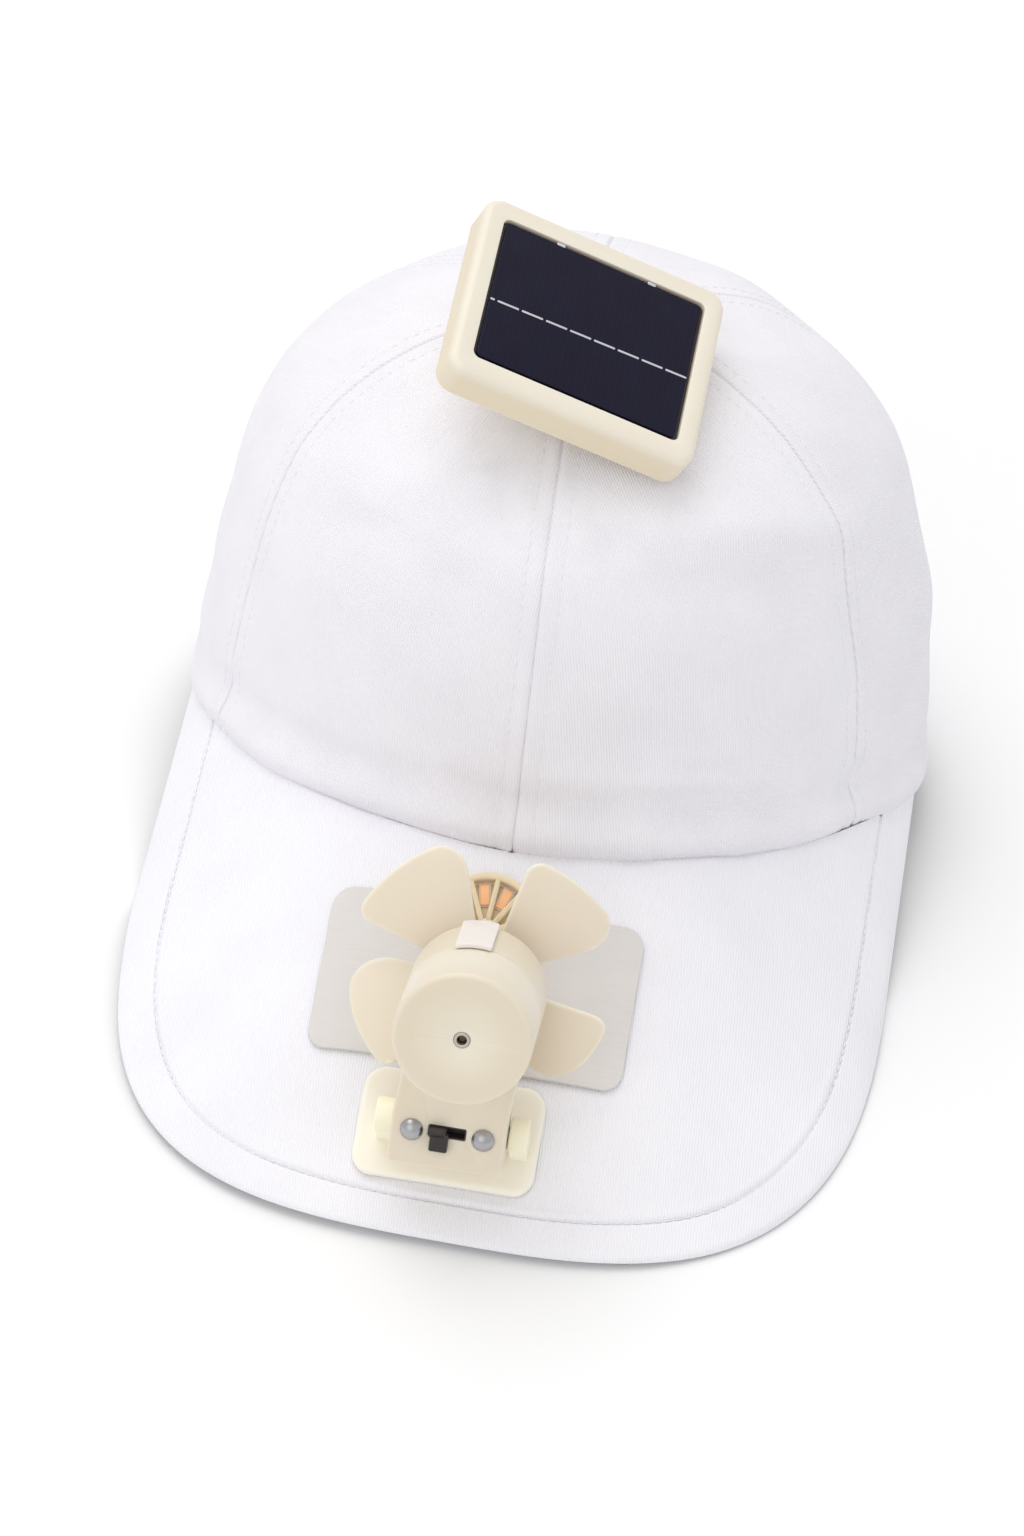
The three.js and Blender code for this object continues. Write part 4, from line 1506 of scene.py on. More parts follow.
@dataclass
class Brim:
    """The bent brim with its stitched border and the seam down its middle."""

    room: Workroom
    border: float = 8.4
    strip: float = 12.0
    hem_gap: float = 0.45
    roll: float = 0.8
    tip_columns: int = 230
    side_rows: int = 96
    edge_thick: float = 1.2
    edge_reach: float = 5.0
    foot_thick: float = 0.9
    groove: Swell = Swell(-0.75, 8.4, 0.34)
    ridge: Swell = Swell(0.3, 9.6, 0.6)
    middle_seam: Swell = Swell(-0.4, 0, 0.34)
    middle_ridge: Swell = Swell(0.08, 1.5, 0.9)
    pillow: float = 0.22
    pitch: float = 2.3
    stitch: float = 1.55
    thread: float = 0.19
    runs: tuple[float, ...] = (0, 15, 28, 42, 61, 81, 94, 108, 134, 161, 187, 213, 240, 266, 300, 315)
    pulls: tuple[float, ...] = (
        -0.4, 0.3, 1.2, 1.5, 1.8, 2.1, 2.35, 2.55, 2.75, 2.45, 1.9, 1.4, 0.65, 0.1, -0.5, -0.7,
    )
    seams: tuple[float, ...] = (
        9.8, 9.7, 9.6, 9.6, 9.9, 9.9, 9.7, 9.6, 9.7, 9.5, 9.0, 8.6, 8.2, 7.4, 7.0, 6.8,
    )

    def levels(self) -> Array:
        """Distances from the edge of the rings in the border, inmost first."""
        return np.array([
            12, 11.2, 10.4, 9.8, 9.4, 9.1, 8.9, 8.7, 8.55, 8.4, 8.25, 8.1, 7.9, 7.7, 7.4, 7.0, 6.4, 5.6,
            4.8, 4.0, 3.2, 2.4, 1.8, 1.3, 0.95, 0.65, 0.4, 0.22, 0.1, 0.02,
        ])

    def along(self, table: tuple[float, ...]) -> Array:
        """Values of a table at the even steps of the tip, smoothed.

        Args:
            table: values at the places that `runs` gives.

        Returns:
            A value for each column of the tip.
        """
        even = np.linspace(0, self.runs[-1], self.tip_columns)
        values = np.pad(np.interp(even, self.runs, table), 8, mode="edge")
        return np.convolve(values, np.ones(17) / 17, "valid")

    def inward(self, level: float) -> Array:
        """Distances in from the plain outline at a level of the border.

        Args:
            level: distance in from the real edge.

        Returns:
            A distance for each column of the tip.
        """
        pull, seam = self.along(self.pulls), self.along(self.seams)
        return pull + (seam - pull) * level / self.border

    def tip(self) -> tuple[Array, Array]:
        """Round tip of the plain outline.

        Returns:
            Points at even steps, and their outward normals.
        """
        turn = np.linspace(-np.pi / 2, np.pi / 2, 4001)
        x = CAP.brim_half * signed_power(np.sin(turn), 2 / CAP.brim_exponent)
        reach = CAP.front + CAP.brim_reach - CAP.brim_start
        y = -CAP.brim_start - reach * np.maximum(np.cos(turn), 0) ** (2 / CAP.brim_exponent)
        run = np.concatenate([[0], np.cumsum(np.hypot(np.diff(x), np.diff(y)))])
        even = np.linspace(0, run[-1], self.tip_columns)
        px, py = np.interp(even, run, x), np.interp(even, run, y)
        step = 0.4
        ax, ay = np.interp(even + step, run, x), np.interp(even + step, run, y)
        bx, by = np.interp(even - step, run, x), np.interp(even - step, run, y)
        normal = np.stack([ay - by, -(ax - bx)], -1)
        normal[0], normal[-1] = (-1, 0), (1, 0)
        normal /= np.linalg.norm(normal, axis=1, keepdims=True)
        return np.stack([px, py], -1), normal

    def side(self, level: float, shares: Array, hand: int) -> Array:
        """Points down a straight side of the brim.

        Args:
            level: distance in from the edge.
            shares: places along the side, 0 at the hem.
            hand: -1 for the left side, 1 for the right.

        Returns:
            The points in plan.
        """
        x = hand * (CAP.brim_half - self.inward(level)[0 if hand < 0 else -1])
        start = CAP.hem_at(np.array(x))[0] - self.hem_gap
        return np.stack([np.full_like(shares, x), start + (-CAP.brim_start - start) * shares], -1)

    def plan(self) -> tuple[Array, Array, Array]:
        """Lays out the brim's cloth in plan.

        Returns:
            The points, their distances in from the edge, and the quads.
        """
        shares = np.linspace(0, 1, self.side_rows) ** 1.15
        tip, normal = self.tip()
        inner = tip - normal * self.inward(self.strip)[:, None]
        count = self.tip_columns
        across = np.linspace(inner[0, 0], inner[-1, 0], count)
        start = np.stack([across, CAP.hem_at(across)[0] - self.hem_gap], -1)
        grid = start[None] + (inner - start)[None] * shares[:, None, None]
        number = np.arange(grid.shape[0] * count).reshape(-1, count)
        ring = np.concatenate([number[:, 0], number[-1, 1:-1], number[::-1, -1]])
        points = [grid.reshape(-1, 2)]
        depth = [np.full(number.size, self.strip + 1.0)]
        quads = [grid_faces(self.side_rows, count)]
        total = number.size
        for level in self.levels()[1:]:
            left, right = self.side(level, shares, -1), self.side(level, shares, 1)
            bend = (tip - normal * self.inward(level)[:, None])[1:-1]
            points.append(np.concatenate([left, bend, right[::-1]]))
            depth.append(np.full(len(ring), level))
            after = total + np.arange(len(ring))
            quads.append(np.stack([ring[:-1], ring[1:], after[1:], after[:-1]], -1))
            ring = after
            total += len(ring)
        return np.concatenate(points), np.concatenate(depth), np.concatenate(quads)

    def relief(self, x: Array, y: Array, depth: Array) -> Array:
        """How far the cloth stands over the plain form.

        Args:
            x: places across the brim.
            y: places along it.
            depth: distances in from its edge.

        Returns:
            Heights in millimetres.
        """
        inside = np.clip(self.border - depth, 0, self.border) / self.border
        made = self.pillow * np.clip(np.sin(inside * np.pi), 0, 1) ** 0.8
        made = made + self.groove.over(depth) + self.ridge.over(depth)
        hem = CAP.hem_at(x)[0] - y
        seam = self.middle_seam.over(x + 0.02 * hem) + self.middle_ridge.over(np.abs(x))
        made = made + seam * np.clip(1 - np.abs(hem) / 200, 0, 1) * (depth > self.border)
        made = made - 0.25 * np.exp(-hem / 0.8)
        wave = np.sin(x / 9.0 + 0.6) * np.sin(y / 13.0) * 0.12 + np.sin(x / 23 + y / 17) * 0.18
        far = np.clip((np.abs(x) - 38) / 14, 0, 1)
        return made + wave * far

    def build(self) -> None:
        """Builds the cloth and the row of stitches along its border."""
        plan, depth, quads = self.plan()
        x, y = plan[:, 0], plan[:, 1]
        base = CAP.brim_height(x, y)
        rim = round_off(depth, self.roll)
        lift = self.relief(x, y, depth)
        top = np.stack([x, y, base + lift - rim], -1)
        down = CAP.brim_cloth / math.cos(math.atan2(CAP.hems[0], CAP.brim_reach))
        foot = self.foot_thick * bump(x, 70, 26) * np.clip((-y - 95) / 20, 0, 1)
        thin = (down - self.edge_thick - foot) * np.exp(-((depth / self.edge_reach) ** 2))
        low = np.maximum(base - down + thin + rim * 0.35 + lift * 0.3, 0.02)
        low = np.minimum(low, top[:, 2] - 0.05)
        bottom = np.stack([x, y, low], -1)
        weave = np.stack([x, y * 1.13, np.zeros_like(x)], -1)
        seat = self.room.seats.cap()
        piece = shell("brim_cloth", top, bottom, quads, weave)
        self.room.set_in(piece, seat, "brim_cloth", Slot.CLOTH, "brim")
        sewn = stitches("brim_stitches", [self.border_row()])
        self.room.set_in(sewn, seat, "thread", Slot.CLOTH)

    def border_row(self) -> tuple[Array, Array]:
        """Stitches along the border's seam.

        Returns:
            Points and quads of the row.
        """
        shares = np.linspace(0.03, 1, 60)
        tip, normal = self.tip()
        left, right = self.side(self.border, shares, -1), self.side(self.border, shares, 1)
        bend = (tip - normal * self.inward(self.border)[:, None])[1:-1]
        line = np.concatenate([left, bend, right[::-1]])
        z = CAP.brim_height(line[:, 0], line[:, 1]) - 0.4
        path = np.column_stack([line, z])
        out = CAP.over_brim(np.column_stack([line, np.ones(len(line))])) - CAP.over_brim(
            np.column_stack([line, np.zeros(len(line))])
        )
        return stitch_row(path, out, self.pitch, self.stitch, self.thread)


# What lies on the brim


@dataclass
class BrimPlate:
    """Thin brushed plate with round corners, flush on the brim."""

    room: Workroom
    width: float = 68.8
    back: float = 105.0
    front: float = 138.6
    thick: float = 0.8
    corner: float = 4.2
    x: float = -2.3
    seat: float = 0.4

    def build(self) -> None:
        """Builds the plate with an opening for the vent."""
        sheet = rectangle(self.width, self.front - self.back, self.corner, 10)
        outline = refine(shift(sheet, self.x, -(self.front + self.back) / 2), 2.5)
        piece = prism("brim_plate_sheet", outline, self.seat, self.seat + self.thick, 0.15, 0.3)
        hole = Vent.radius + GAP
        carve(piece, [turned("cutter", [(0, -6), (hole, -6), (hole, 6), (0, 6)], 96, Vent.x, Vent.y)])
        slice_up(piece, 2.8)
        remap(piece, CAP.over_brim)
        smooth(piece)
        self.room.set_in(piece, self.room.seats.cap(), "plate", Slot.PLATE, "brim_plate")


@dataclass
class Vent:
    """Round grille in the brim: a rim, twelve ribs and a hub over an amber tray with two strips."""

    room: Workroom
    x: float = -2.6
    y: float = -111.8
    radius: float = 12.6
    rim: float = 1.5
    hub: float = 3.0
    ribs: int = 12
    rib: float = 1.1
    high: float = 2.2
    turn: float = -5.0
    tray: float = 10.8
    tray_thick: float = 0.5
    seat: float = 0.4
    strips: tuple[float, float] = (70.0, 100.0)
    strip_at: float = 8.4
    strip_size: tuple[float, float] = (4.4, 2.1)
    strip_rim: tuple[float, float] = (4.9, 2.6)

    def laid(self, piece: Piece) -> None:
        """Lays a piece made about the vent's centre on the brim."""
        remap(piece, lambda p: CAP.over_brim(p + np.array([self.x, self.y, 0])))

    def build(self) -> None:
        """Builds the grille, the tray and the strips."""
        seat = self.room.seats.cap()
        low = self.seat + self.tray_thick + GAP
        grille = self.grille(low, low + self.high)
        self.laid(grille)
        self.room.set_in(grille, seat, "rim", Slot.CREAM, "brim_vent")
        dish = turned("vent_tray_dish", [
            (0, self.seat), (self.tray, self.seat), (self.tray, low - GAP), (0, low - GAP),
        ], 72)
        self.laid(dish)
        self.room.set_in(dish, seat, "amber", Slot.AMBER, "vent_tray")
        for name, angle in zip(("left", "right"), self.strips):
            stood = f"vent_strip_{name}"
            self.strip(f"strip_{name}", angle, self.strip_size, (low, low + 0.4), "copper", stood)
            self.strip(f"strip_rim_{name}", angle, self.strip_rim, (low, low + 0.1), "pale")

    def grille(self, low: float, top: float) -> Piece:
        """Makes the rim with its ribs and hub.

        Args:
            low: height of its underside over the brim.
            top: height of its rim.

        Returns:
            The grille about the vent's centre.
        """
        inner = self.radius - self.rim
        corners = [(inner, low), (self.radius, low), (self.radius, top), (inner, top)]
        ring = turned("brim_vent_grille", round_corners(corners, [0.1, 0.1, 0.6, 0.6], 5), 96)
        hub = turned("hub", [
            (0, low), (self.hub, low), (self.hub, top - 0.5), (self.hub - 0.5, top - 0.1), (0, top + 0.15),
        ], 48)
        start, end = self.hub / 2, self.radius - self.rim / 2
        ribs = []
        for i in range(self.ribs):
            flat = refine(rectangle(end - start, self.rib, 0.2, 3), 3)
            rib = prism("rib", flat, low, top - 0.15, 0.05, 0.4)
            fan_out(rib, i * 360 / self.ribs + self.turn, (end + start) / 2)
            ribs.append(rib)
        return join(ring, [hub, *ribs])

    def strip(
        self,
        label: str,
        angle: float,
        size: tuple[float, float],
        heights: tuple[float, float],
        finish: str,
        *nodes: str,
    ) -> None:
        """Builds one metal strip under the ribs.

        Args:
            label: the piece's name.
            angle: the strip's direction from the vent's centre, in degrees.
            size: its length and width.
            heights: heights of the tray's top and the strip's top over the brim.
            finish: name of its finish.
            nodes: the solids that it stands in for.
        """
        low, top = heights
        piece = prism(label, refine(rectangle(*size, 0.3, 3), 2), low - 0.2, top, 0.03, 0.08)
        fan_out(piece, angle, self.strip_at)
        self.laid(piece)
        self.room.set_in(piece, self.room.seats.cap(), finish, Slot.COPPER, *nodes)


@dataclass
class FanBase:
    """Flat foot of the fan on the brim, with a lug on each side of the arm, and the pin."""

    room: Workroom
    width: float = 39.6
    back: float = 140.8
    front: float = 162.4
    thick: float = 1.8
    corner: float = 4.5
    x: float = -2.6
    seat: float = 0.4
    lug_thick: float = 4.0
    lug_radius: float = 3.7
    lug_foot: float = 2.4

    def lug(self, side: int) -> Piece:
        """One lug, a cheek with a round top, beside the arm.

        Args:
            side: 1 or -1, the side of the arm.

        Returns:
            The lug in its place on the cap.
        """
        foot = -HEAD.pivot_height + self.seat + self.thick / 2
        neck = math.acos(self.lug_foot / self.lug_radius)
        turn = np.linspace(-neck, math.pi + neck, 40)
        arc = [(self.lug_radius * math.cos(a), self.lug_radius * math.sin(a)) for a in turn]
        outline = [(-self.lug_foot, foot), (self.lug_foot, foot), *arc]
        inner = HEAD.arm_half + GAP
        low = inner if side > 0 else -inner - self.lug_thick
        piece = prism("lug", outline, low, low + self.lug_thick, 0.4, 0.4)
        up, out = CAP.slope()
        axes = np.array([up, out, (1, 0, 0)])
        remap(piece, lambda p: HEAD.pivot() + p @ axes)
        return piece

    def build(self) -> None:
        """Builds the foot with its lugs and keeps the pin."""
        flat = rectangle(self.width, self.front - self.back, self.corner, 10)
        outline = refine(shift(flat, self.x, -(self.front + self.back) / 2), 2.5)
        foot = prism("fan_base_foot", outline, self.seat, self.seat + self.thick, 0.2, 1.1)
        slice_up(foot, 2.8)
        remap(foot, CAP.over_brim)
        smooth(foot)
        self.room.set_in(foot, self.room.seats.cap(), "foot", Slot.CREAM, "fan_base")
        lugs = self.lug(1)
        join(lugs, [self.lug(-1)])
        lugs.name = "fan_base_lugs"
        self.room.set_in(lugs, self.room.seats.cap(), "lug", Slot.CREAM)
        self.room.keep("hinge_pin", "steel")


# The fan


@dataclass
class FanArm:
    """Upright arm that widens into the motor's barrel, with its latch, screws and switch."""

    room: Workroom
    below: float = 5.6
    upright: float = 5.0
    motor: float = 12.4
    screw_x: float = 7.6
    screw_y: float = 2.4
    screw_head: float = 2.45
    screw_dome: float = 1.45
    slot_x: float = -0.1
    slot_y: float = 2.8
    slot_width: float = 8.0
    slot_high: float = 2.6
    latch_width: float = 7.4
    latch_thick: float = 0.9
    latch_turn: float = 4.3
    latch_back: float = -1.6
    latch_front: float = 12.8
    tab: tuple[float, float] = (3.6, 2.0)
    flap: tuple[float, float] = (3.9, 4.1)

    def outline(self) -> Outline:
        """Draws the arm and the barrel in front view.

        Returns:
            The outline, counterclockwise.
        """
        half = HEAD.arm_half
        opening = math.acos(half / HEAD.barrel)
        arc = [
            (HEAD.lean + HEAD.barrel * math.cos(a), HEAD.rise + HEAD.barrel * math.sin(a))
            for a in np.linspace(-opening, math.pi + opening, 90)
        ]
        sides = round_corners(
            [(-half, self.upright), (-half, -self.below), (half, -self.below), (half, self.upright)],
            [0, 0.8, 0.8, 0], 5,
        )
        return sides + arc

    def build(self) -> None:
        """Builds the arm and what it carries."""
        seat = self.room.seats.head()
        arm = prism("fan_arm_shell", refine(self.outline(), 3), HEAD.arm_back, HEAD.arm_front, 1.0, 0.5)
        room = self.motor + GAP
        cutters = [
            turned("cut_motor", [(0, -0.6), (room, -0.6), (room, 14), (0, 14)], 72, HEAD.lean, HEAD.rise),
            turned("cut_shaft", [(0, -4), (1.5, -4), (1.5, 4), (0, 4)], 32, HEAD.lean, HEAD.rise),
            self.bore(),
            self.slot_cutter(),
        ]
        carve(arm, cutters)
        self.room.set_in(arm, seat, "cream", Slot.CREAM, "fan_arm")
        self.screws(seat)
        self.latch(seat)
        # A black sheet on the slot's walls: painted shade.
        self.slot_shade_sheet(seat)
        self.room.keep("switch_body", "black")
        self.room.keep("motor", "steel")
        self.slider()

    def bore(self) -> Piece:
        """Cutter for the hinge pin's hole."""
        radius = HEAD.pin + GAP
        piece = turned("cut_pin", [(0, -20), (radius, -20), (radius, 20), (0, 20)], 32)
        remap(piece, lambda p: p[:, [2, 0, 1]])
        return piece

    def slot_cutter(self) -> Piece:
        """Cutter for the switch's slot, flared at the front."""
        rings = []
        for z, wider in ((-5, 0), (-0.35, 0), (-0.1, 0.1), (0.02, 0.3), (1, 1.3)):
            ring = rectangle(self.slot_width + 2 * wider, self.slot_high + 2 * wider, 0.4 + wider, 4)
            rings.append((shift(ring, self.slot_x, self.slot_y), HEAD.arm_front + z))
        return stack("cut_slot", rings)

    def slot_shade_sheet(self, seat: Seat) -> None:
        """Builds a thin black sheet on the walls of the switch's slot, painted shade where the cream walls
        would show.

        Args:
            seat: the fan head's seat.
        """
        rings = []
        for thin, z in ((0.02, -5), (0.02, -0.15), (0.24, -0.15), (0.24, -5)):
            ring = rectangle(self.slot_width - 2 * thin, self.slot_high - 2 * thin, 0.4, 4)
            rings.append((shift(ring, self.slot_x, self.slot_y), HEAD.arm_front + z))
        piece = stack("switch_slot_painted_shade", rings, open_loop=True)
        self.room.set_in(piece, seat, "black", Slot.BLACK)

    def screws(self, seat: Seat) -> None:
        """Builds the two screws with plain domed heads.

        Args:
            seat: the fan head's seat.
        """
        z = HEAD.arm_front + 0.05
        r, h = self.screw_head, self.screw_dome
        ball = (r * r + h * h) / (2 * h)
        turns = np.linspace(math.asin(r / ball), 0, 12)
        dome = [(ball * math.sin(a), z + 0.3 + h - ball * (1 - math.cos(a))) for a in turns]
        line = [(0, z - 1), (r - 0.15, z - 1), (r, z), *dome]
        for name, x in (("left", self.screw_x), ("right", -self.screw_x)):
            head = turned(f"arm_screw_head_{name}", line, 48, x, self.screw_y)
            self.room.set_in(head, seat, "steel", Slot.STEEL, f"arm_screw_{name}")

    def latch(self, seat: Seat) -> None:
        """Builds the pale strip over the top of the barrel.

        Args:
            seat: the fan head's seat.
        """
        low = HEAD.barrel + GAP
        middle = (self.latch_front + self.latch_back) / 2
        flat = refine(rectangle(self.latch_width, self.latch_front - self.latch_back, 0.5, 5), 0.9)
        piece = prism("cover_latch_strip", flat, 0, self.latch_thick, 0.1, 0.3)

        def wrap(p: Array) -> Array:
            """Bends the flat strip round the barrel."""
            turn = math.radians(90 + self.latch_turn) - p[:, 0] / HEAD.barrel
            reach = low + p[:, 2]
            x, y = HEAD.lean + reach * np.cos(turn), HEAD.rise + reach * np.sin(turn)
            return np.column_stack([x, y, p[:, 1] + middle])

        remap(piece, wrap)
        self.room.set_in(piece, seat, "pale", Slot.PALE, "cover_latch")

    def slider(self) -> None:
        """Builds the black tab of the switch, a stem in the slot with a flap under it."""
        z = HEAD.arm_front + GAP
        middle = self.slot_x - self.slot_width / 2 + GAP + self.tab[0] / 2
        low = self.slot_y - self.slot_high / 2
        tab = shift(rectangle(*self.tab, 0.3, 3), middle, self.slot_y)
        stem = prism("switch_slider_tab", tab, z - 3, z + 1.4, 0.05, 0.35)
        flap = shift(rectangle(*self.flap, 0.35, 3), middle + 0.45, low - 0.7)
        join(stem, [prism("flap", flap, z, z + 1.4, 0.1, 0.3)])
        self.room.set_in(stem, self.room.seats.head("slider"), "black", Slot.BLACK, "switch_slider")


@dataclass
class MotorCover:
    """Front cup over the motor with a small rimmed hole, and the shaft behind it."""

    room: Workroom
    face: float = 27.0
    hole: float = 1.5
    edge: float = 1.2
    wall: float = 1.5
    bush: tuple[float, float] = (1.02, 1.72)

    def build(self) -> None:
        """Builds the cup, the ring in its hole and the shaft."""
        seat = self.room.seats.head()
        back, outer = HEAD.arm_front + GAP, HEAD.barrel
        corner = [
            (outer - self.edge * (1 - math.cos(a)), self.face - self.edge * (1 - math.sin(a)))
            for a in np.linspace(0, math.pi / 2, 8)
        ]
        profile = [
            (outer - self.wall, back), (outer - 0.3, back), (outer, back + 0.3), *corner,
            (outer - 4, self.face + 0.02), (self.hole + 0.5, self.face), (self.hole + 0.3, self.face - 0.1),
            (self.hole + 0.25, self.face - 0.4), (self.hole + 0.25, self.face - self.wall),
            (outer - self.wall, self.face - self.wall),
        ]
        cup = turned("motor_cover_cup", profile, 120, HEAD.lean, HEAD.rise)
        self.room.set_in(cup, seat, "cream", Slot.CREAM, "motor_cover")
        low, high = self.bush
        proud = self.face + 0.1
        section = [(low, 24), (high, 24), (high, proud), (low, proud)]
        ring = turned(
            "face_bushing", round_corners(section, [0.05, 0.05, 0.25, 0.2], 4), 64, HEAD.lean, HEAD.rise
        )
        self.room.set_in(ring, seat, "bush", Slot.STEEL)
        # The shaft's dark brown end stands for the shade at the bottom of the hole: painted shade.
        line = [(0, -15), (0.7, -15), (0.9, -14.8), (0.9, 25.6), (0.7, 25.8), (0, 25.8)]
        shaft = turned("motor_shaft_rod", line, 32, HEAD.lean, HEAD.rise)
        self.room.set_in(shaft, self.room.seats.head("rotor"), "shaft_dark_shade", Slot.STEEL, "motor_shaft")


@dataclass
class Propeller:
    """Four broad twisted blades on a hub."""

    room: Workroom
    plane: float = -9.2
    hub: float = 6.0
    hub_half: float = 4.2
    span: float = 27.0
    pitch: float = 14.0
    blades: tuple[tuple[float, float, float], ...] = (
        (49.0, 30.2, 8.0), (132.0, 30.2, 7.5), (206.0, 29.3, 10.5), (325.0, 28.3, 11.0),
    )
    thick: float = 1.1
    rim: float = 0.7
    corner_ahead: float = 3.5
    cup: float = 0.8

    def blade(self, turn: float, tip: float, corner_behind: float) -> Piece:
        """One blade, a twisted sheet with round outer corners and thin rounded edges.

        Args:
            turn: angle of its middle, in radians.
            tip: its outer radius.
            corner_behind: radius of its rounder corner.

        Returns:
            The blade about the shaft.
        """
        rows, columns = 44, 40
        a = 0.5 - 0.5 * np.cos(np.linspace(0, 1, columns) * np.pi)
        b = np.sin(np.linspace(0, 1, rows) * np.pi / 2)
        a, b = np.meshgrid(a, b)
        radius = self.hub * 0.55 + (tip - self.hub * 0.55) * b
        corner = np.where(a < 0.5, self.corner_ahead, corner_behind)
        near = np.maximum(radius - (tip - corner), 0)
        cut = corner - np.sqrt(np.maximum(corner**2 - near**2, 0))
        half = math.radians(self.span) - cut / radius
        aside = (1 - 2 * a) * half
        cup = self.cup * (1 - (2 * a - 1) ** 2)
        high = radius * np.sin(aside) * math.tan(math.radians(self.pitch)) + cup
        side = (1 - np.abs(2 * a - 1)) * half * radius
        edge = np.minimum(side, tip - radius)
        full = self.thick * (0.62 + 0.38 * (1 - b))
        thick = full * np.sqrt(np.clip(1 - (1 - np.minimum(edge / self.rim, 1)) ** 2, 0.02, 1))
        angle = turn + aside
        x, y = radius * np.cos(angle), radius * np.sin(angle)
        top = np.stack([x, y, high + thick / 2], -1).reshape(-1, 3)
        low = np.stack([x, y, high - thick / 2], -1).reshape(-1, 3)
        return shell("blade", top, low, grid_faces(rows, columns), top)

    def build(self) -> None:
        """Builds the hub with its blades."""
        h, r = self.hub_half, self.hub
        hub = turned("propeller_hub_blades", [
            (1.2, -h), (r - 0.6, -h), (r, -h + 0.6), (r, h - 0.8), (r - 0.8, h), (1.2, h)], 64)
        join(hub, [self.blade(math.radians(angle), tip, corner) for angle, tip, corner in self.blades])
        remap(hub, lambda p: p + np.array([HEAD.lean, HEAD.rise, self.plane]))
        self.room.set_in(hub, self.room.seats.head("rotor"), "blade", Slot.BLADE, "propeller")


# The light cell panel


@dataclass
class LightPanel:
    """Cream frame with a dark cell in its face, on a post over the crown."""

    room: Workroom
    centre: tuple[float, float, float] = (1.7, -45.0, 152.9)
    turns: tuple[float, float, float] = (0.34, 0.38, 0.11)
    width: float = 57.8
    high: float = 47.2
    thick: float = 9.6
    corner: float = 4.3
    edge: float = 1.8
    cell_width: float = 48.4
    cell_high: float = 37.5
    pocket: float = 1.4
    bar_at: float = -2.3
    bar_slope: float = 0.022
    dashes: int = 8
    first_dash: float = 1.0
    dash_gap: float = 0.7
    tabs: tuple[float, float] = (-10.6, 11.2)

    def build(self) -> None:
        """Builds the frame, the cell and its bars, and keeps the post."""
        seat = self.room.seats.panel(self.centre, self.turns)
        outer = refine(rectangle(self.width, self.high, self.corner, 10), 60)
        rings = pillow(outer, -self.thick, 0, 1.2, self.edge)
        window = rectangle(self.cell_width, self.cell_high, 1.7, 10)
        rings += [(inset(window, -0.3), 0.0), (inset(window, -0.08), -0.08)]
        rings += [(window, -0.3), (window, -self.pocket)]
        frame = stack("solar_frame_shell", rings)
        note_places(frame)
        self.room.set_in(frame, seat, "frame", Slot.CREAM, "solar_frame")
        face = -self.pocket + 1.1
        bed = rectangle(self.cell_width - 0.1, self.cell_high - 0.1, 1.65, 8)
        under = prism("solar_cell_bed", bed, -self.pocket + 0.02, -self.pocket + 0.2, 0.02, 0.02)
        self.room.set_in(under, seat, "black", Slot.BLACK)
        slab = rectangle(self.cell_width - 1.5, self.cell_high - 1.5, 1.1, 6)
        cell = prism("solar_cell_slab", slab, -self.pocket + 0.25, face, 0.03, 0.16)
        note_places(cell)
        self.room.set_in(cell, seat, "cell", Slot.CELL, "solar_cell")
        self.bars(seat, face)
        self.room.keep("panel_post", "cream")

    def bars(self, seat: Seat, face: float) -> None:
        """Builds the silver bar of dashes across the cell, with two tabs at the cell's upper edge.

        Args:
            seat: the panel's seat.
            face: height of the cell's face.
        """
        left = -self.cell_width / 2 + 0.95
        start = left + self.first_dash
        step = (-left - start) / self.dashes
        spans = [(left, start)]
        spans += [(start + self.dash_gap + k * step, start + (k + 1) * step) for k in range(self.dashes)]
        dashes = []
        for low, high in spans:
            middle = (low + high) / 2
            flat = shift(rectangle(high - low, 0.5, 0.15, 2), middle, self.bar_at)
            outline = [(x, y + x * self.bar_slope) for x, y in flat]
            dashes.append(prism("dash", outline, face - 0.02, face + 0.07, 0.01, 0.03))
        for x in self.tabs:
            outline = shift(rectangle(1.9, 0.75, 0.2, 2), x, self.cell_high / 2 - 0.62)
            dashes.append(prism("tab", outline, face - 0.3, face + 0.1, 0.01, 0.05))
        bar = join(dashes[0], dashes[1:])
        bar.name = "cell_bar"
        self.room.set_in(bar, seat, "silver", Slot.STEEL)


# The studio


@dataclass(frozen=True)
class Lamp:
    """A soft round light that faces the cap, with its place and size in metres."""

    name: str
    where: tuple[float, float, float]
    size: float
    power: float
    colour: tuple[float, float, float] = (1.0, 1.0, 1.0)
    aim: tuple[float, float, float] = (0, 0, 0.04)

    def hang(self) -> None:
        """Adds the light to the scene."""
        data = bpy.data.lights.new(self.name, "AREA")
        data.shape = "DISK"
        data.size = self.size
        data.energy = self.power
        data.color = self.colour
        lamp = bpy.data.objects.new(self.name, data)
        bpy.context.scene.collection.objects.link(lamp)
        lamp.location = self.where
        lamp.rotation_mode = "QUATERNION"
        lamp.rotation_quaternion = (Vector(self.aim) - Vector(self.where)).to_track_quat("-Z", "Y")


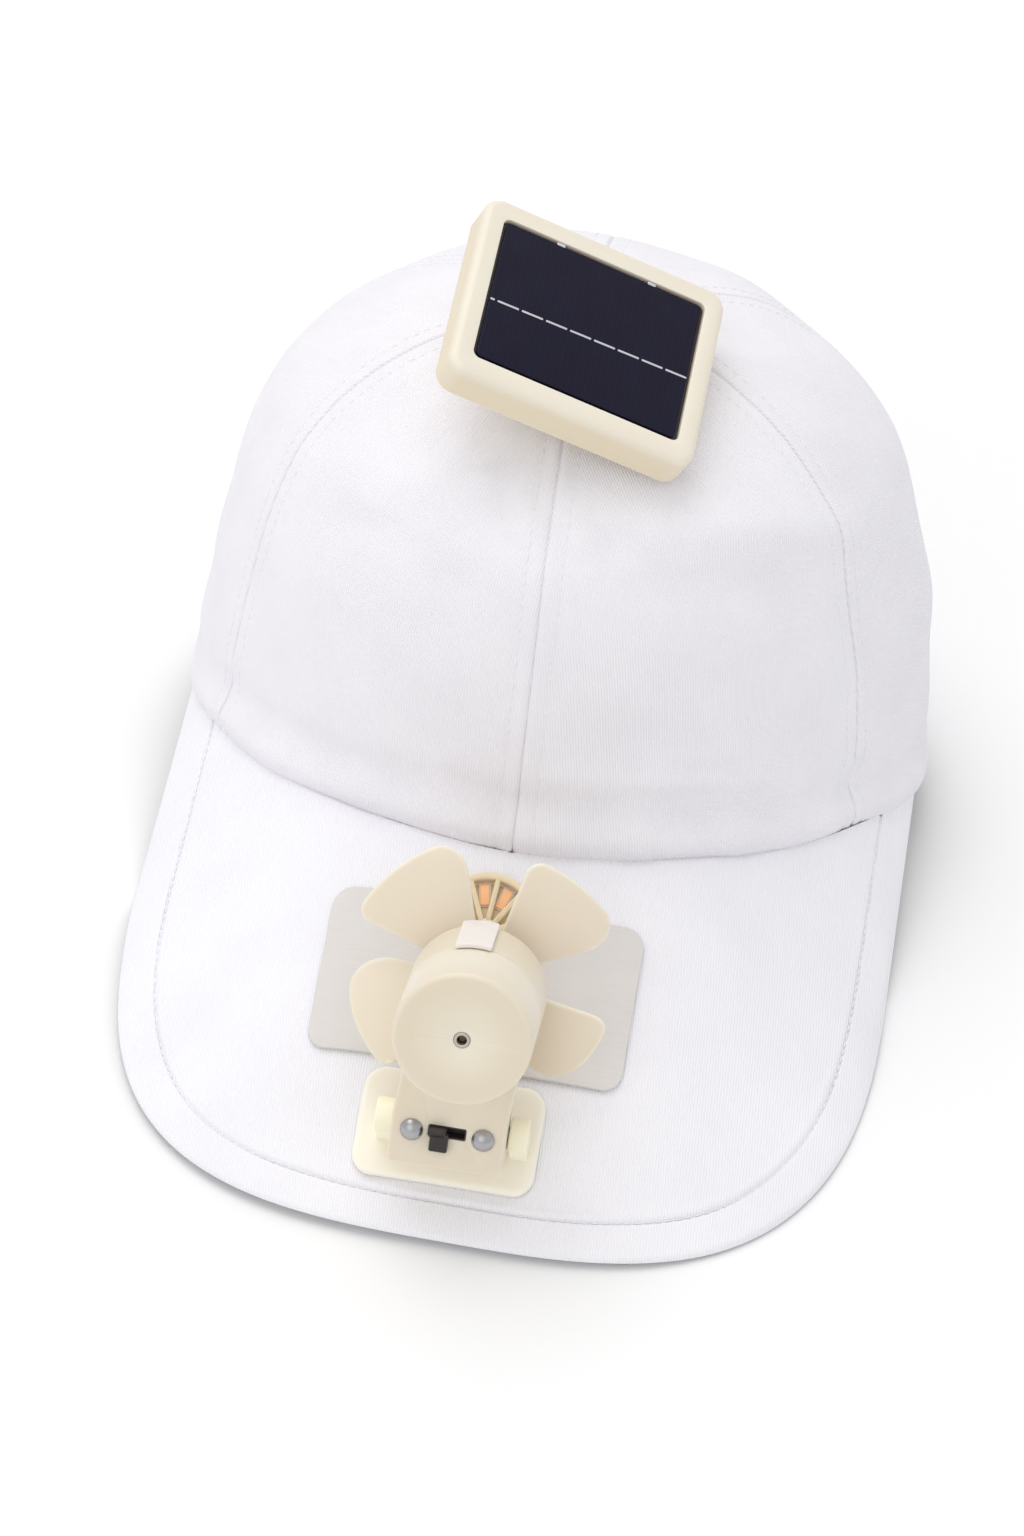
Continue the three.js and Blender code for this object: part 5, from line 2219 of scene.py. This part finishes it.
@dataclass
class Studio:
    """Camera, soft lights and pale floor, in metres but for the camera's place."""

    seats: Seats
    camera_at: tuple[float, float, float] = (61.96, -835.45, 694.31)
    right: tuple[float, float, float] = (0.98609, 0.14818, 0.07531)
    up: tuple[float, float, float] = (-0.15272, 0.62891, 0.76233)
    back: tuple[float, float, float] = (0.0656, -0.76323, 0.64279)
    lens: float = 104.97
    lamps: tuple[Lamp, ...] = (
        Lamp("key", (-0.34, 0.24, 1.52), 1.4, 8.4, (1.0, 0.995, 0.99)),
        Lamp("fill", (-0.5, -1.35, 1.0), 1.5, 3.5),
    )
    ambient: float = 0.8
    floor_front: float = -3.0
    floor_bend: float = 1.5
    floor_radius: float = 0.8
    floor_top: float = 3.0
    floor_half: float = 4.0

    def build(self) -> None:
        """Places the camera, the lights and the floor."""
        scene = bpy.context.scene
        scene.view_settings.view_transform = "Standard"
        camera = bpy.data.objects.new("camera", bpy.data.cameras.new("camera"))
        scene.collection.objects.link(camera)
        axes = Matrix((self.right, self.up, self.back)).transposed().to_4x4()
        where = Vector(self.camera_at) + Vector((0, self.seats.shift, 0))
        camera.matrix_world = Matrix.Translation(where * MM) @ axes
        camera.data.lens = self.lens
        camera.data.sensor_width = 36
        camera.data.clip_start = 0.02
        scene.camera = camera
        for lamp in self.lamps:
            lamp.hang()
        world = bpy.data.worlds.new("soft_room")
        scene.world = world
        world.use_nodes = True
        soft = world.node_tree.nodes["Background"]
        soft.inputs["Color"].default_value = (1, 1, 1, 1)
        soft.inputs["Strength"].default_value = self.ambient
        self.floor()

    def floor(self) -> None:
        """Adds the wide floor, which rises far behind the cap."""
        bend, radius, half = self.floor_bend, self.floor_radius, self.floor_half
        line = [(self.floor_front, 0.0), (bend, 0.0)]
        turns = np.linspace(0.1, math.pi / 2, 14)
        line += [(bend + radius * math.sin(a), radius - radius * math.cos(a)) for a in turns]
        line.append((bend + radius, self.floor_top))
        points = np.array([(x, y, z) for y, z in line for x in (-half, half)], float)
        faces = grid_faces(len(line), 2).tolist()
        piece = make_mesh("studio_floor", points, faces)
        piece.data.materials.append(PaleFloor().make("pale_floor"))


def clear_scene() -> None:
    """Removes whatever the new file starts with."""
    for thing in list(bpy.data.objects):
        bpy.data.objects.remove(thing)


def corners(box: tuple[Vector, Vector]) -> list[list[float]]:
    """A box as plain lists."""
    return [list(corner) for corner in box]


def main() -> None:
    """Builds the cap's sub-assemblies in order."""
    logging.basicConfig(level=logging.INFO, format="%(message)s")
    clear_scene()
    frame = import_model()
    seats = Seats.from_joints(frame["joints"])
    room = Workroom(seats, Finishes(), frame["nodes"])
    Studio(seats).build()
    for part in (Crown, Brim, BrimPlate, Vent, FanBase, FanArm, MotorCover, Propeller, LightPanel):
        LOG.info("building %s", part.__name__)
        part(room).build()


if __name__ == "__main__":
    main()
